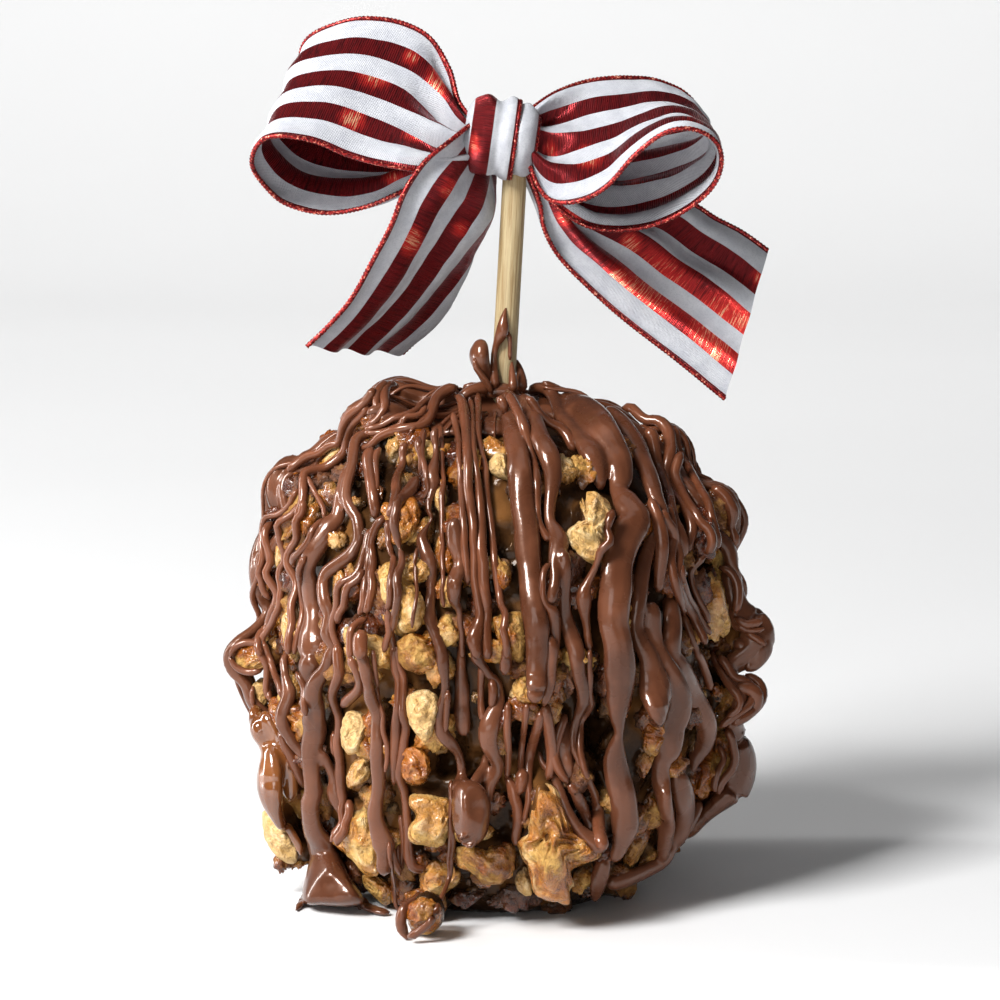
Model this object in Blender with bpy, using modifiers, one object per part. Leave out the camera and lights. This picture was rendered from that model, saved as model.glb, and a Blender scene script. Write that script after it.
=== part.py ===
"""Caramel apple rolled in walnut pieces and striped with milk chocolate.

A wooden stick stands in it and carries a tied bow of striped wired ribbon.
Metres, +Z up. The origin is the centre of the flat base, and the front faces -Y.
Azimuths are degrees from the front towards +X.
"""

import math
import random

import bmesh
import bpy
from mathutils import Matrix, Vector
from mathutils.bvhtree import BVHTree

MM = 0.001
GAP = 0.3 * MM  # clearance between touching pieces

# The caramel-coated apple: a round body that is widest above its middle.
CORE_RADIUS = 49 * MM
CORE_WAIST = 60 * MM  # height of the widest place
CORE_RISE = 52 * MM  # from the waist to where the upper curve closes
CORE_DROP = 69 * MM  # the same below, cut off by the flat base
SHOULDER_POWER = 2.8  # a higher power makes a squarer curve
FOOT_POWER = 2.6
CORE_TOP = 109.5 * MM
CORE_SIDES = 32
DIMPLE_RADIUS = 20 * MM
DIMPLE_DEPTH = 4 * MM
POOL_HEIGHT = 108 * MM  # middle of the chocolate that fills the dimple
POOL_HALF = Vector((21, 20, 7.5)) * MM
HEART = Vector((0, 0, 58 * MM))  # the coating is laid out as seen from here
REACH = 100 * MM

# The stick, pushed into the apple and leaning a little to the right.
STICK_RADIUS = 2.75 * MM
STICK_LENGTH = 140 * MM
STICK_LEAN = math.radians(3.2)
STICK_AT_TOP = Vector((0.9, 0, 108)) * MM  # where it leaves the apple
STICK_BURIED = 67.7 * MM

# The ribbon bow.
RIBBON_THICKNESS = 0.6 * MM
KNOT = Vector((1.3, -2.5, 173.3)) * MM
KNOT_HALF = Vector((7.9, 7.2, 8.5)) * MM
KNOT_LEAN = math.radians(8)
KNOT_RINGS = 10
PLEAT_DEPTH = 0.05
PLEAT_TURNS = 9  # radians of the pleats' wave from the knot's middle to its end

# Walnut pieces at chosen places, biggest in view:
# azimuth, height, length, width, thickness, turn in degrees, lift. Sizes in mm.
CHOSEN_NUTS = [
    (16, 12, 20, 17, 11, 35, 1.5),
    (-2, 9, 15, 13, 10, 0, 1),
    (-19, 19, 14, 13, 10, 20, 1),
    (-42, 11, 14, 12, 10, 60, 1),
    (-86, 11, 15, 9, 11, 95, 8),
    (-80, 24, 16, 11, 11, 60, 5),
    (-66, 8, 14, 12, 10, 20, 2),
    (80, 30, 15, 11, 10, 40, 4),
    (76, 17, 14, 11, 9, 30, 1),
    (58, 8, 13, 11, 9, 60, 0.5),
    (-88, 55, 13, 8, 7, 10, 5),
    (-39, 38, 11, 7, 7, 80, 1.5),
    (-18, 42, 11, 10, 9, 30, 1),
    (29, 88, 15, 9, 9, 120, 3),
    (1, 97, 10, 8, 8, 60, 2),
    (27, 98, 13, 10, 8, 10, 1),
    (-68, 105, 13, 10, 12, 20, 4),
    (-84, 91, 13, 9, 9, 0, 4),
    (73, 68, 17, 9, 9, 95, 3),
    (88, 58, 15, 10, 9, 30, 6),
    (80, 46, 14, 9, 9, 150, 5),
    (-27, 86, 14, 9, 9, 75, 2),
    (-18, 64, 15, 10, 9, 20, 1),
    (6, 48, 13, 11, 9, 5, 1),
    (70, 84, 14, 10, 9, 60, 4),
]
SPREAD_NUTS = 48  # more pieces, spread evenly over the sides
EVEN_TURN = 0.75488  # steps of a sequence that fills a plane evenly
EVEN_RISE = 0.56984
NUT_LOWEST = 5 * MM
NUT_HIGHEST = 101 * MM
NUT_ROOM = 7.5 * MM  # a spread piece keeps this far from every other one
NUT_LOBES = 0.1  # shares of a piece's size
NUT_ROUGHNESS = 0.11

# Chocolate strands at chosen places: azimuth, height of the lower end, half width. mm.
CHOSEN_STRANDS = [
    (3, 46, 2.5),
    (14, 30, 2.0),
    (27, 14, 3.3),
    (40, 3, 2.3),
    (52, 34, 2.6),
    (66, 20, 2.2),
    (82, 12, 2.3),
    (-7, 18, 2.3),
    (-16, 0.8, 1.9),
    (-28, 8, 2.3),
    (-38, 26, 1.9),
    (-50, 0.8, 2.8),
    (-64, 24, 2.0),
    (-80, 14, 2.1),
]
BACK_STRANDS = 12
BACK_FIRST = 97  # azimuth of the first strand of the far side
BACK_LAST = 264
FACES_KEPT = 0.47  # of the faces of the fused coating
STRAND_START = 8  # degrees from the axis, seen from the heart
STRAND_STEP = 1.5  # degrees between the places where the surface is felt
STRAND_KEEP = 4  # every this many of them becomes a point of the tube
STRAND_LIMIT = 160  # degrees from the axis, past which no strand goes
STRAND_SWAY = 2  # degrees sideways
STRAND_DRIFT = 4  # degrees sideways by the time a strand is a quarter turn down
SWAY_STEPS = (7.5, 3.9)  # degrees down for one radian of each wave of the sway
SWELL = ((0.22, 5.2), (0.12, 2.7))  # share of the thickness and degrees, for each wave of the swelling
STRAND_LIFT = 0.3  # share of its half width that a strand's middle lies above what holds it
DRAPE_REACH = 3  # felt places on each side that hold a strand up

# Chocolate that ran up the stick: azimuth, distance from the stick below and above, height,
# half width of the neck and of the head. mm.
COLLAR_DROPS = [
    (-92, 3.9, 5.7, 13, 1.5, 2.8),
    (-50, 3.4, 3.3, 9, 1.5, 1.3),
    (80, 5.4, 4.0, 12, 1.7, 0.7),
    (170, 4.6, 4.2, 9, 1.7, 2.0),
]

# Chocolate that pooled at the foot: azimuth, distance from the axis, length, width, height. mm.
FOOT_POOLS = [
    (-55, 47, 9, 5.5, 4),
    (-20, 43, 7, 5, 4),
    (-4, 41, 5, 4, 3),
    (36, 42, 6, 4.5, 4),
    (150, 42, 8, 5, 4),
]


def clear_scene():
    for obj in list(bpy.data.objects):
        bpy.data.objects.remove(obj, do_unlink=True)


def new_collection(name):
    collection = bpy.data.collections.new(name)
    bpy.context.scene.collection.children.link(collection)
    return collection


def new_material(name, colour, roughness, metallic=0.0):
    material = bpy.data.materials.new(name)
    material.use_nodes = True
    shader = material.node_tree.nodes["Principled BSDF"]
    shader.inputs["Base Color"].default_value = (*colour, 1)
    shader.inputs["Roughness"].default_value = roughness
    shader.inputs["Metallic"].default_value = metallic
    return material


def new_object(name, mesh, collection):
    obj = bpy.data.objects.new(name, mesh)
    collection.objects.link(obj)
    return obj


def object_from_bmesh(name, bm, collection):
    mesh = bpy.data.meshes.new(name)
    bm.to_mesh(mesh)
    bm.free()
    return new_object(name, mesh, collection)


def mesh_of(obj, collection):
    """Replaces a curve or a modified mesh by a plain mesh of its evaluated shape."""
    bpy.context.view_layer.update()
    evaluated = obj.evaluated_get(bpy.context.evaluated_depsgraph_get())
    mesh = bpy.data.meshes.new_from_object(evaluated)
    bm = bmesh.new()
    bm.from_mesh(mesh)
    bmesh.ops.remove_doubles(bm, verts=bm.verts, dist=0.01 * MM)
    bm.to_mesh(mesh)
    bm.free()
    made = new_object(obj.name + "_mesh", mesh, collection)
    made.matrix_world = obj.matrix_world
    bpy.data.objects.remove(obj, do_unlink=True)
    return made


def apply_modifiers(obj):
    bpy.context.view_layer.update()
    evaluated = obj.evaluated_get(bpy.context.evaluated_depsgraph_get())
    mesh = bpy.data.meshes.new_from_object(evaluated)
    obj.modifiers.clear()
    obj.data = mesh


def join_solids(obj, others):
    """One Boolean union of obj with every object of the collection, which is then emptied."""
    modifier = obj.modifiers.new("join", "BOOLEAN")
    modifier.operation = "UNION"
    modifier.operand_type = "COLLECTION"
    modifier.collection = others
    modifier.solver = "MANIFOLD"
    apply_modifiers(obj)
    for other in list(others.objects):
        bpy.data.objects.remove(other, do_unlink=True)
    bpy.data.collections.remove(others)


def drop_slivers(obj):
    """Collapses the narrow triangles that a union leaves along its seams."""
    modifier = obj.modifiers.new("fewer_faces", "DECIMATE")
    modifier.ratio = FACES_KEPT
    apply_modifiers(obj)


def cut_away(obj, cutter):
    modifier = obj.modifiers.new("cut", "BOOLEAN")
    modifier.operation = "DIFFERENCE"
    modifier.object = cutter
    modifier.solver = "MANIFOLD"
    apply_modifiers(obj)
    bpy.data.objects.remove(cutter, do_unlink=True)


def island_volume(faces):
    return sum(face.calc_center_median().dot(face.normal) * face.calc_area() for face in faces) / 3


def keep_main_body(obj):
    """Fills sealed hollows and drops loose scraps, which are islands beside the largest one."""
    bm = bmesh.new()
    bm.from_mesh(obj.data)
    bmesh.ops.triangulate(bm, faces=bm.faces)
    bm.normal_update()
    unseen = set(bm.faces)
    islands = []
    while unseen:
        island = {unseen.pop()}
        front = list(island)
        while front:
            face = front.pop()
            for edge in face.edges:
                for other in edge.link_faces:
                    if other in unseen:
                        unseen.remove(other)
                        island.add(other)
                        front.append(other)
        islands.append(island)
    islands.sort(key=island_volume)
    loose = [face for island in islands[:-1] for face in island]
    bmesh.ops.delete(bm, geom=loose, context="FACES")
    bm.to_mesh(obj.data)
    bm.free()


def aim(azimuth, polar):
    """Unit vector at an azimuth from the front and an angle from straight up, both in degrees."""
    turn = math.radians(azimuth)
    fall = math.radians(polar)
    return Vector((math.sin(turn) * math.sin(fall), -math.cos(turn) * math.sin(fall), math.cos(fall)))


def core_radius(height):
    if height > CORE_WAIST:
        fall = ((height - CORE_WAIST) / CORE_RISE) ** SHOULDER_POWER
    else:
        fall = ((CORE_WAIST - height) / CORE_DROP) ** FOOT_POWER
    return CORE_RADIUS * math.sqrt(max(0, 1 - fall))


def core_profile(steps=15):
    """Half outline of the coated apple from the dimple down its side to the base."""
    points = []
    for i in range(steps + 1):
        height = CORE_TOP * 0.5 * (1 + math.cos(math.pi * i / steps))
        points.append(Vector((core_radius(height), 0, height)))
    rim = points[0]
    inner = []
    for share in (0, 0.35, 0.7):
        x = rim.x * share
        dip = DIMPLE_DEPTH * (1 - (x / DIMPLE_RADIUS) ** 2)
        inner.append(Vector((x, 0, rim.z + GAP - dip)))
    return [*inner, *points, Vector((0, 0, 0))]


def make_core(collection):
    mesh = bpy.data.meshes.new("coated_apple")
    points = core_profile()
    mesh.from_pydata(points, [(i, i + 1) for i in range(len(points) - 1)], [])
    core = new_object("coated_apple", mesh, collection)
    screw = core.modifiers.new("turn", "SCREW")
    screw.steps = CORE_SIDES
    screw.render_steps = CORE_SIDES
    screw.use_merge_vertices = True
    screw.merge_threshold = 0.00001
    apply_modifiers(core)
    return core


def core_normal(height):
    """Outward slope of the core at a height: (sideways, up)."""
    step = 0.5 * MM
    change = core_radius(height + step) - core_radius(height - step)
    slope = Vector((2 * step, -change))
    return slope.normalized()


def spread_nuts(rng):
    """Places and sizes of the pieces that fill between the chosen ones, in the same form as those."""
    taken = [spot_on_core(nut[0], nut[1] * MM) for nut in CHOSEN_NUTS]
    found = []
    for i in range(3 * SPREAD_NUTS):
        azimuth = 360 * (i * EVEN_TURN % 1) + rng.uniform(-4, 4)
        height = NUT_LOWEST + (NUT_HIGHEST - NUT_LOWEST) * (i * EVEN_RISE % 1)
        length = rng.uniform(12, 17)
        width = rng.uniform(8.5, 12)
        thickness = rng.uniform(8, 10)
        turn = rng.uniform(0, 180)
        lift = rng.uniform(0.5, 2.5)
        spot = spot_on_core(azimuth, height)
        if all((spot - other).length > NUT_ROOM for other in taken):
            taken.append(spot)
            found.append((azimuth, height / MM, length, width, thickness, turn, lift))
    return found[:SPREAD_NUTS]


def spot_on_core(azimuth, height):
    turn = math.radians(azimuth)
    radius = core_radius(height)
    return Vector((radius * math.sin(turn), -radius * math.cos(turn), height))


def nut_frame(azimuth, height, turn, lift):
    """Placement of a piece: its thickness points out of the coating, its length along it."""
    sideways, up = core_normal(height)
    around = math.radians(azimuth)
    outward = Vector((sideways * math.sin(around), -sideways * math.cos(around), up))
    along = Vector((math.cos(around), math.sin(around), 0))
    across = outward.cross(along)
    basis = Matrix((along, across, outward)).transposed().to_4x4()
    place = Matrix.Translation(spot_on_core(azimuth, height) + outward * lift)
    return place @ basis @ Matrix.Rotation(math.radians(turn), 4, "Z")


def make_nut(index, nut, collection):
    """A rough lump: a coarse ball, squeezed to size, with its points pushed in and out."""
    azimuth, height, length, width, thickness, turn, lift = nut
    rng = random.Random(4000 + index)
    bm = bmesh.new()
    bmesh.ops.create_icosphere(bm, subdivisions=2, radius=1)
    phase = rng.uniform(0, 2 * math.pi)
    for vert in bm.verts:
        lobes = NUT_LOBES * math.sin(3 * math.atan2(vert.co.y, vert.co.x) + phase)
        vert.co *= 1 + lobes + rng.uniform(-NUT_ROUGHNESS, NUT_ROUGHNESS)
    size = Matrix.Diagonal((length / 2 * MM, width / 2 * MM, thickness / 2 * MM, 1))
    bmesh.ops.transform(bm, matrix=nut_frame(azimuth, height * MM, turn, lift * MM) @ size, verts=bm.verts)
    return object_from_bmesh(f"nut_{index}", bm, collection)


def surface_tree(objects):
    """A tree for feeling the outside of several meshes that sit at the origin."""
    points = []
    faces = []
    for obj in objects:
        first = len(points)
        points += [vert.co.copy() for vert in obj.data.vertices]
        faces += [[first + i for i in polygon.vertices] for polygon in obj.data.polygons]
    return BVHTree.FromPolygons(points, faces)


def felt_distance(tree, azimuth, polar):
    """How far the outside lies from the heart in a direction."""
    direction = aim(azimuth, polar)
    hit = tree.ray_cast(HEART + direction * REACH, -direction)
    return REACH - hit[3]


def strand_route(tree, azimuth, end_height, half_width, index):
    """Points and half widths of a strand that runs from the stick down the side.

    It lies on whatever stands out and spans the gaps between.
    """
    rng = random.Random(7000 + index)
    phases = [rng.uniform(0, 2 * math.pi) for _ in range(4)]
    drift = rng.uniform(-STRAND_DRIFT, STRAND_DRIFT)
    places = []
    polar = STRAND_START
    while polar < STRAND_LIMIT:
        fade = min(1, (polar - STRAND_START) / 40)
        sway = math.sin(polar / SWAY_STEPS[0] + phases[0]) + 0.7 * math.sin(polar / SWAY_STEPS[1] + phases[1])
        turn = azimuth + fade * (drift * polar / 90 + STRAND_SWAY * sway / 1.4)
        distance = felt_distance(tree, turn, polar)
        places.append((turn, polar, distance))
        if (HEART + aim(turn, polar) * distance).z < end_height:
            break
        polar += STRAND_STEP
    route = []
    for i in range(0, len(places), STRAND_KEEP):
        turn, polar, _ = places[i]
        near = places[max(0, i - DRAPE_REACH) : i + DRAPE_REACH + 1]
        upper = sorted(place[2] for place in near)[len(near) // 2 :]
        held = sum(upper) / len(upper)
        size = half_width
        for (share, step), phase in zip(SWELL, phases[2:]):
            size += half_width * share * math.sin(polar / step + phase)
        route.append((HEART + aim(turn, polar) * (held + size * STRAND_LIFT), size))
    return route


def make_strand(name, route, collection):
    curve = bpy.data.curves.new(name, "CURVE")
    curve.dimensions = "3D"
    curve.bevel_depth = 1
    curve.bevel_resolution = 1
    curve.use_fill_caps = True
    spline = curve.splines.new("POLY")
    spline.points.add(len(route) - 1)
    for point, (centre, size) in zip(spline.points, route):
        point.co = (*centre, 1)
        point.radius = size
    return mesh_of(new_object(name, curve, collection), collection)


def strand_list():
    """Azimuth, end height and half width of every strand, the chosen ones first."""
    rng = random.Random(11)
    found = [(azimuth, end * MM, half * MM) for azimuth, end, half in CHOSEN_STRANDS]
    for i in range(BACK_STRANDS):
        azimuth = BACK_FIRST + (BACK_LAST - BACK_FIRST) * i / (BACK_STRANDS - 1) + rng.uniform(-3, 3)
        found.append((azimuth, rng.uniform(2, 40) * MM, rng.uniform(1.8, 2.9) * MM))
    return found


def make_chocolate_top(collection):
    """The pool of chocolate in the dimple and the drops that ran up the stick."""
    bm = bmesh.new()
    bmesh.ops.create_uvsphere(bm, u_segments=20, v_segments=8, radius=1)
    place = Matrix.Translation((0, 0, POOL_HEIGHT))
    bmesh.ops.transform(bm, matrix=place @ Matrix.Diagonal((*POOL_HALF, 1)), verts=bm.verts)
    object_from_bmesh("pool", bm, collection)
    for i, (azimuth, low, high, top, waist, head) in enumerate(COLLAR_DROPS):
        side = aim(azimuth, 90)
        foot = STICK_AT_TOP + side * low * MM
        crown = STICK_AT_TOP + side * high * MM + Vector((0, 0, top * MM))
        tip = crown + Vector((0, 0, head * 0.8 * MM))
        neck = foot.lerp(crown, 0.6)
        route = [(foot, waist * 1.3), (neck, waist), (crown, head), (tip, head * 0.4)]
        make_strand(f"drop_{i}", [(point, half * MM) for point, half in route], collection)


def make_foot_pools(collection):
    """Flat drops where strands ran down to what the apple stands on."""
    for i, (azimuth, away, length, width, height) in enumerate(FOOT_POOLS):
        bm = bmesh.new()
        bmesh.ops.create_uvsphere(bm, u_segments=10, v_segments=6, radius=1)
        size = Matrix.Diagonal((width * MM, length * MM, height * MM, 1))
        turn = Matrix.Rotation(math.radians(azimuth), 4, "Z")
        place = Matrix.Translation(aim(azimuth, 90) * away * MM)
        bmesh.ops.transform(bm, matrix=place @ turn @ size, verts=bm.verts)
        object_from_bmesh(f"foot_{i}", bm, collection)


def stick_placement():
    lean = Matrix.Rotation(STICK_LEAN, 4, "Y")
    return Matrix.Translation(STICK_AT_TOP) @ lean


def stick_cylinder(name, radius, bottom, top, collection):
    """A cylinder on the stick's axis between two distances from where it leaves the apple."""
    bm = bmesh.new()
    middle = Matrix.Translation((0, 0, (bottom + top) / 2))
    bmesh.ops.create_cone(bm, cap_ends=True, segments=24, radius1=radius, radius2=radius, depth=top - bottom)
    bmesh.ops.transform(bm, matrix=stick_placement() @ middle, verts=bm.verts)
    return object_from_bmesh(name, bm, collection)


def make_coated_apple(parts, cutters):
    core = make_core(parts)
    pieces = new_collection("coating")
    nuts = [*CHOSEN_NUTS, *spread_nuts(random.Random(5))]
    lumps = [make_nut(i, nut, pieces) for i, nut in enumerate(nuts)]
    tree = surface_tree([core, *lumps])
    for i, (azimuth, end, half) in enumerate(strand_list()):
        make_strand(f"strand_{i}", strand_route(tree, azimuth, end, half, i), pieces)
    make_chocolate_top(pieces)
    make_foot_pools(pieces)
    join_solids(core, pieces)
    drop_slivers(core)
    cut_away(core, stick_cylinder("bore", STICK_RADIUS + GAP, -STICK_BURIED - GAP, STICK_LENGTH, cutters))
    cut_away(core, floor_block(cutters))
    keep_main_body(core)
    core.data.materials.append(new_material("milk_chocolate", (0.16, 0.065, 0.04), 0.35))
    return core


def floor_block(collection):
    """Everything below the surface that the apple stands on."""
    bm = bmesh.new()
    bmesh.ops.create_cube(bm, size=200 * MM)
    bmesh.ops.transform(bm, matrix=Matrix.Translation((0, 0, -100 * MM)), verts=bm.verts)
    return object_from_bmesh("floor_block", bm, collection)


def make_stick(parts):
    stick = stick_cylinder("stick", STICK_RADIUS, -STICK_BURIED, STICK_LENGTH - STICK_BURIED, parts)
    bevel = stick.modifiers.new("rounded_ends", "BEVEL")
    bevel.width = 0.4 * MM
    bevel.segments = 2
    bevel.limit_method = "ANGLE"
    stick.data.shade_smooth()
    stick.data.set_sharp_from_angle(angle=math.radians(40))
    stick.data.materials.append(new_material("stick_wood", (0.72, 0.55, 0.30), 0.6))
    return stick


# Ribbon edges, station by station, in mm from the knot: far edge, near edge.
LEFT_LOOP = [
    ((-6.5, 2.5, 3.5), (-7.5, -2.5, -5)),
    ((-10, 6.5, 8), (-12.5, -7.5, -6.5)),
    ((-12, 10.5, 15), (-19.5, -11, -6.5)),
    ((-16.5, 12.5, 22), (-28, -12.5, -5)),
    ((-23, 13.5, 25.5), (-35, -12.5, -3)),
    ((-31, 13.5, 26.5), (-42, -13.5, 0)),
    ((-38.5, 14.5, 25), (-49, -13.5, 1)),
    ((-44.5, 17, 22), (-53.5, -12.5, 0)),
    ((-46.5, 20.5, 17), (-56, -8.5, -4.5)),
    ((-45, 23.5, 11.5), (-54.5, -4.5, -9)),
    ((-40, 27, 7.5), (-49.5, -0.5, -14.5)),
    ((-32, 28, 5.5), (-41, 1, -17)),
    ((-22.5, 24.5, 3.5), (-31, 0.5, -15.5)),
    ((-14.5, 16.5, 2.5), (-22, -0.5, -11.5)),
    ((-6, 5.5, 1.5), (-6.5, -0.5, -4.5)),
]
RIGHT_LOOP = [
    ((6, 2.5, 6), (5.5, -2.5, -5)),
    ((11.5, 8.5, 9.5), (9.5, -10.5, -12.5)),
    ((18.5, 13.5, 12), (15.5, -14.5, -13.5)),
    ((26.5, 15.5, 13), (22.5, -14.5, -10.5)),
    ((34, 18.5, 12.5), (29, -15.5, -3.5)),
    ((40, 20.5, 10.5), (35, -15.5, 1.5)),
    ((43.5, 21.5, 8), (40.5, -15.5, 3)),
    ((45.5, 23, 5), (45.5, -14, 1.5)),
    ((46.5, 24.5, 3), (48.5, -11.5, -2)),
    ((46, 26.5, 1.5), (48.5, -8.5, -7.5)),
    ((42.5, 28, 0.5), (45, -6, -13)),
    ((37, 28.5, -0.5), (37.5, -4, -18)),
    ((29.5, 26.5, -1.5), (27.5, -3.5, -20.5)),
    ((22.5, 22.5, -2), (18.5, -3.5, -19.5)),
    ((15, 14.5, -2), (11, -3.5, -14)),
    ((6, 5.5, -0.5), (5, -1.5, -5)),
]
LEFT_TAIL = [
    ((-5.5, -2.5, 4.5), (-4, -1.5, -6)),
    ((-11.5, -9.5, 0), (-1.5, -2.5, -11)),
    ((-17.5, -12.5, -5), (-1.5, 2.5, -16)),
    ((-22, -14.5, -11.5), (-3.5, 9.5, -21.5)),
    ((-25, -13.5, -19), (-6.5, 14.5, -27)),
    ((-29.5, -11.5, -27.5), (-9.5, 17.5, -32.5)),
    ((-34, -9.5, -35.5), (-13, 19.5, -38.5)),
    ((-39, -8.5, -41.5), (-18, 20.5, -45)),
    ((-44, -8.5, -46.5), (-23.5, 21.5, -51)),
]
RIGHT_TAIL = [
    ((6, 4.5, -3), (6, 0.5, -6.5)),
    ((14.5, 11.5, -10), (8.5, 1.5, -14.5)),
    ((24, 16.5, -13), (9.5, 2.5, -20.5)),
    ((34, 19.5, -14.5), (13, 4.5, -27)),
    ((43.5, 20.5, -16), (19.5, 6, -34)),
    ((49.5, 21.5, -19.5), (28.5, 6.5, -42)),
    ((56, 21.5, -23), (39.5, 6.5, -50.5)),
    ((61.5, 20.5, -27), (51, 6.5, -60)),
]
TAIL_BULGE = 5 * MM  # how far the middle of the left tail bows towards the viewer


def spline_point(points, position):
    """A point of the smooth curve through points, at a place from 0 to their number less one."""
    last = len(points) - 1
    i = min(int(position), last - 1)
    t = position - i
    before = points[max(i - 1, 0)]
    after = points[min(i + 2, last)]
    a, b = points[i], points[i + 1]
    square = 2 * before - 5 * a + 4 * b - after
    cube = 3 * a - before - 3 * b + after
    return a + 0.5 * ((b - before) * t + square * t**2 + cube * t**3)


def make_ribbon(name, stations, lengthwise, crosswise, bulge, collection):
    """A grid laid over a strip of ribbon between its two edges, then given its thickness."""
    far = [KNOT + Vector(station[0]) * MM for station in stations]
    near = [KNOT + Vector(station[1]) * MM for station in stations]
    bm = bmesh.new()
    bmesh.ops.create_grid(bm, x_segments=lengthwise, y_segments=crosswise, size=0.5)
    for vert in bm.verts:
        position = (vert.co.x + 0.5) * (len(stations) - 1)
        share = vert.co.y + 0.5
        a = spline_point(far, position)
        b = spline_point(near, position)
        bow = 4 * share * (1 - share) * bulge * min(1, position / 2)
        vert.co = a.lerp(b, share) + Vector((0, -bow, 0))
    strip = object_from_bmesh(name, bm, collection)
    solid = strip.modifiers.new("thickness", "SOLIDIFY")
    solid.thickness = RIBBON_THICKNESS
    solid.offset = 0
    return mesh_of(strip, collection)


def make_knot(parts):
    """The ribbon wound once about the middle of the bow: a pleated barrel across the stick."""
    mesh = bpy.data.meshes.new("ribbon_bow")
    points = [Vector((0, 0, 1))]
    for i in range(KNOT_RINGS + 1):
        along = math.cos(math.pi * i / KNOT_RINGS)
        pleat = 1 + PLEAT_DEPTH * math.cos(along * PLEAT_TURNS)
        points.append(Vector(((1 - along**6) ** 0.5 * 0.75 * pleat + 0.2, 0, along)))
    points.append(Vector((0, 0, -1)))
    mesh.from_pydata(points, [(i, i + 1) for i in range(len(points) - 1)], [])
    knot = new_object("ribbon_bow", mesh, parts)
    screw = knot.modifiers.new("turn", "SCREW")
    screw.steps = 24
    screw.render_steps = 24
    screw.use_merge_vertices = True
    screw.merge_threshold = 0.00001
    apply_modifiers(knot)
    turn = Matrix.Rotation(math.radians(90), 4, "Y")
    lean = Matrix.Rotation(KNOT_LEAN, 4, "Y")
    knot.data.transform(Matrix.Translation(KNOT) @ lean @ Matrix.Diagonal((*KNOT_HALF, 1)) @ turn)
    return knot


def make_bow(parts, cutters):
    knot = make_knot(parts)
    strips = new_collection("strips")
    make_ribbon("loop_left", LEFT_LOOP, 40, 2, 0, strips)
    make_ribbon("loop_right", RIGHT_LOOP, 40, 2, 0, strips)
    make_ribbon("tail_left", LEFT_TAIL, 14, 4, TAIL_BULGE, strips)
    make_ribbon("tail_right", RIGHT_TAIL, 12, 2, 0, strips)
    join_solids(knot, strips)
    cut_away(knot, stick_cylinder("passage", STICK_RADIUS + GAP, 10 * MM, STICK_LENGTH, cutters))
    keep_main_body(knot)
    knot.data.materials.append(new_material("striped_ribbon", (0.5, 0.06, 0.06), 0.45))
    return knot


def main():
    clear_scene()
    parts = new_collection("caramel_apple")
    cutters = new_collection("cutters")
    make_coated_apple(parts, cutters)
    make_stick(parts)
    make_bow(parts, cutters)
    bpy.data.collections.remove(cutters)


main()
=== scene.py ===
import math
import random
import bpy
import numpy as np
from mathutils import Matrix, Vector, noise
from mathutils.bvhtree import BVHTree


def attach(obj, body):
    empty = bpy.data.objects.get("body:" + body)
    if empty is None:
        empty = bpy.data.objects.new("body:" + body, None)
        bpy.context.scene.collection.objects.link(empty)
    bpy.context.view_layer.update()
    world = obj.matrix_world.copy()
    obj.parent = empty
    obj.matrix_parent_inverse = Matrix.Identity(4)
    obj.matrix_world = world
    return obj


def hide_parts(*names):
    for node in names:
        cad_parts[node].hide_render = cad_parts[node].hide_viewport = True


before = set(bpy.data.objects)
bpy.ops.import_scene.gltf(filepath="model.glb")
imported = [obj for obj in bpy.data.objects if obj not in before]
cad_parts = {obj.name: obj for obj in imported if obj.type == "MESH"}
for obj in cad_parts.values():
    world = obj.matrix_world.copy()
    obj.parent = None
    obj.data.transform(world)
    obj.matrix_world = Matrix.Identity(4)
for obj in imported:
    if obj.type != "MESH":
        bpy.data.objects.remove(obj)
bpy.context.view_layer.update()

mm = 0.001

# The camera
camera = {
    "target": (0.0007, 0, 0.0905),
    "distance": 0.9,
    "elevation": 8,
    "lens": 141.5,
    "sensor": 36,
    "picture": 1000,
}
lookDown = math.radians(camera["elevation"])
forward = Vector((0, math.cos(lookDown), -math.sin(lookDown)))
pictureUp = Vector((0, math.sin(lookDown), math.cos(lookDown)))
pictureRight = Vector((1, 0, 0))
eye = Vector(camera["target"]) - forward * camera["distance"]
pixel = camera["distance"] * camera["sensor"] / camera["picture"] / camera["lens"]

bpy.ops.object.camera_add(location=eye, rotation=(math.radians(90) - lookDown, 0, 0))
bpy.context.object.data.lens = camera["lens"]
bpy.context.object.data.sensor_width = camera["sensor"]
bpy.context.scene.camera = bpy.context.object


def sightLine(x, y):  # direction from the eye through a place in the picture
    half = camera["picture"] / 2
    offset = pictureRight * (x - half) + pictureUp * (half - y)
    return (forward * camera["distance"] + offset * pixel).normalized()


def pictureSpot(point):  # where a point is seen in the picture
    away = Vector(point) - eye
    scale = camera["distance"] / away.dot(forward) / pixel
    half = camera["picture"] / 2
    return half + away.dot(pictureRight) * scale, half - away.dot(pictureUp) * scale


# Small tools
def deselectAll():
    bpy.ops.object.select_all(action="DESELECT")


def pick(*objs):
    deselectAll()
    for obj in objs:
        obj.select_set(True)
    bpy.context.view_layer.objects.active = objs[0]


def applyModifier(obj, kind, **settings):
    pick(obj)
    modifier = obj.modifiers.new(kind.title(), kind)
    for name, value in settings.items():
        setattr(modifier, name, value)
    bpy.ops.object.modifier_apply(modifier=modifier.name)


def pointsOf(obj):
    flat = np.empty(len(obj.data.vertices) * 3, dtype=np.float32)
    obj.data.vertices.foreach_get("co", flat)
    return flat.reshape(-1, 3).astype(float)


def setPoints(obj, points):
    obj.data.vertices.foreach_set("co", np.asarray(points, dtype=np.float32).ravel())
    obj.data.update()


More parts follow.
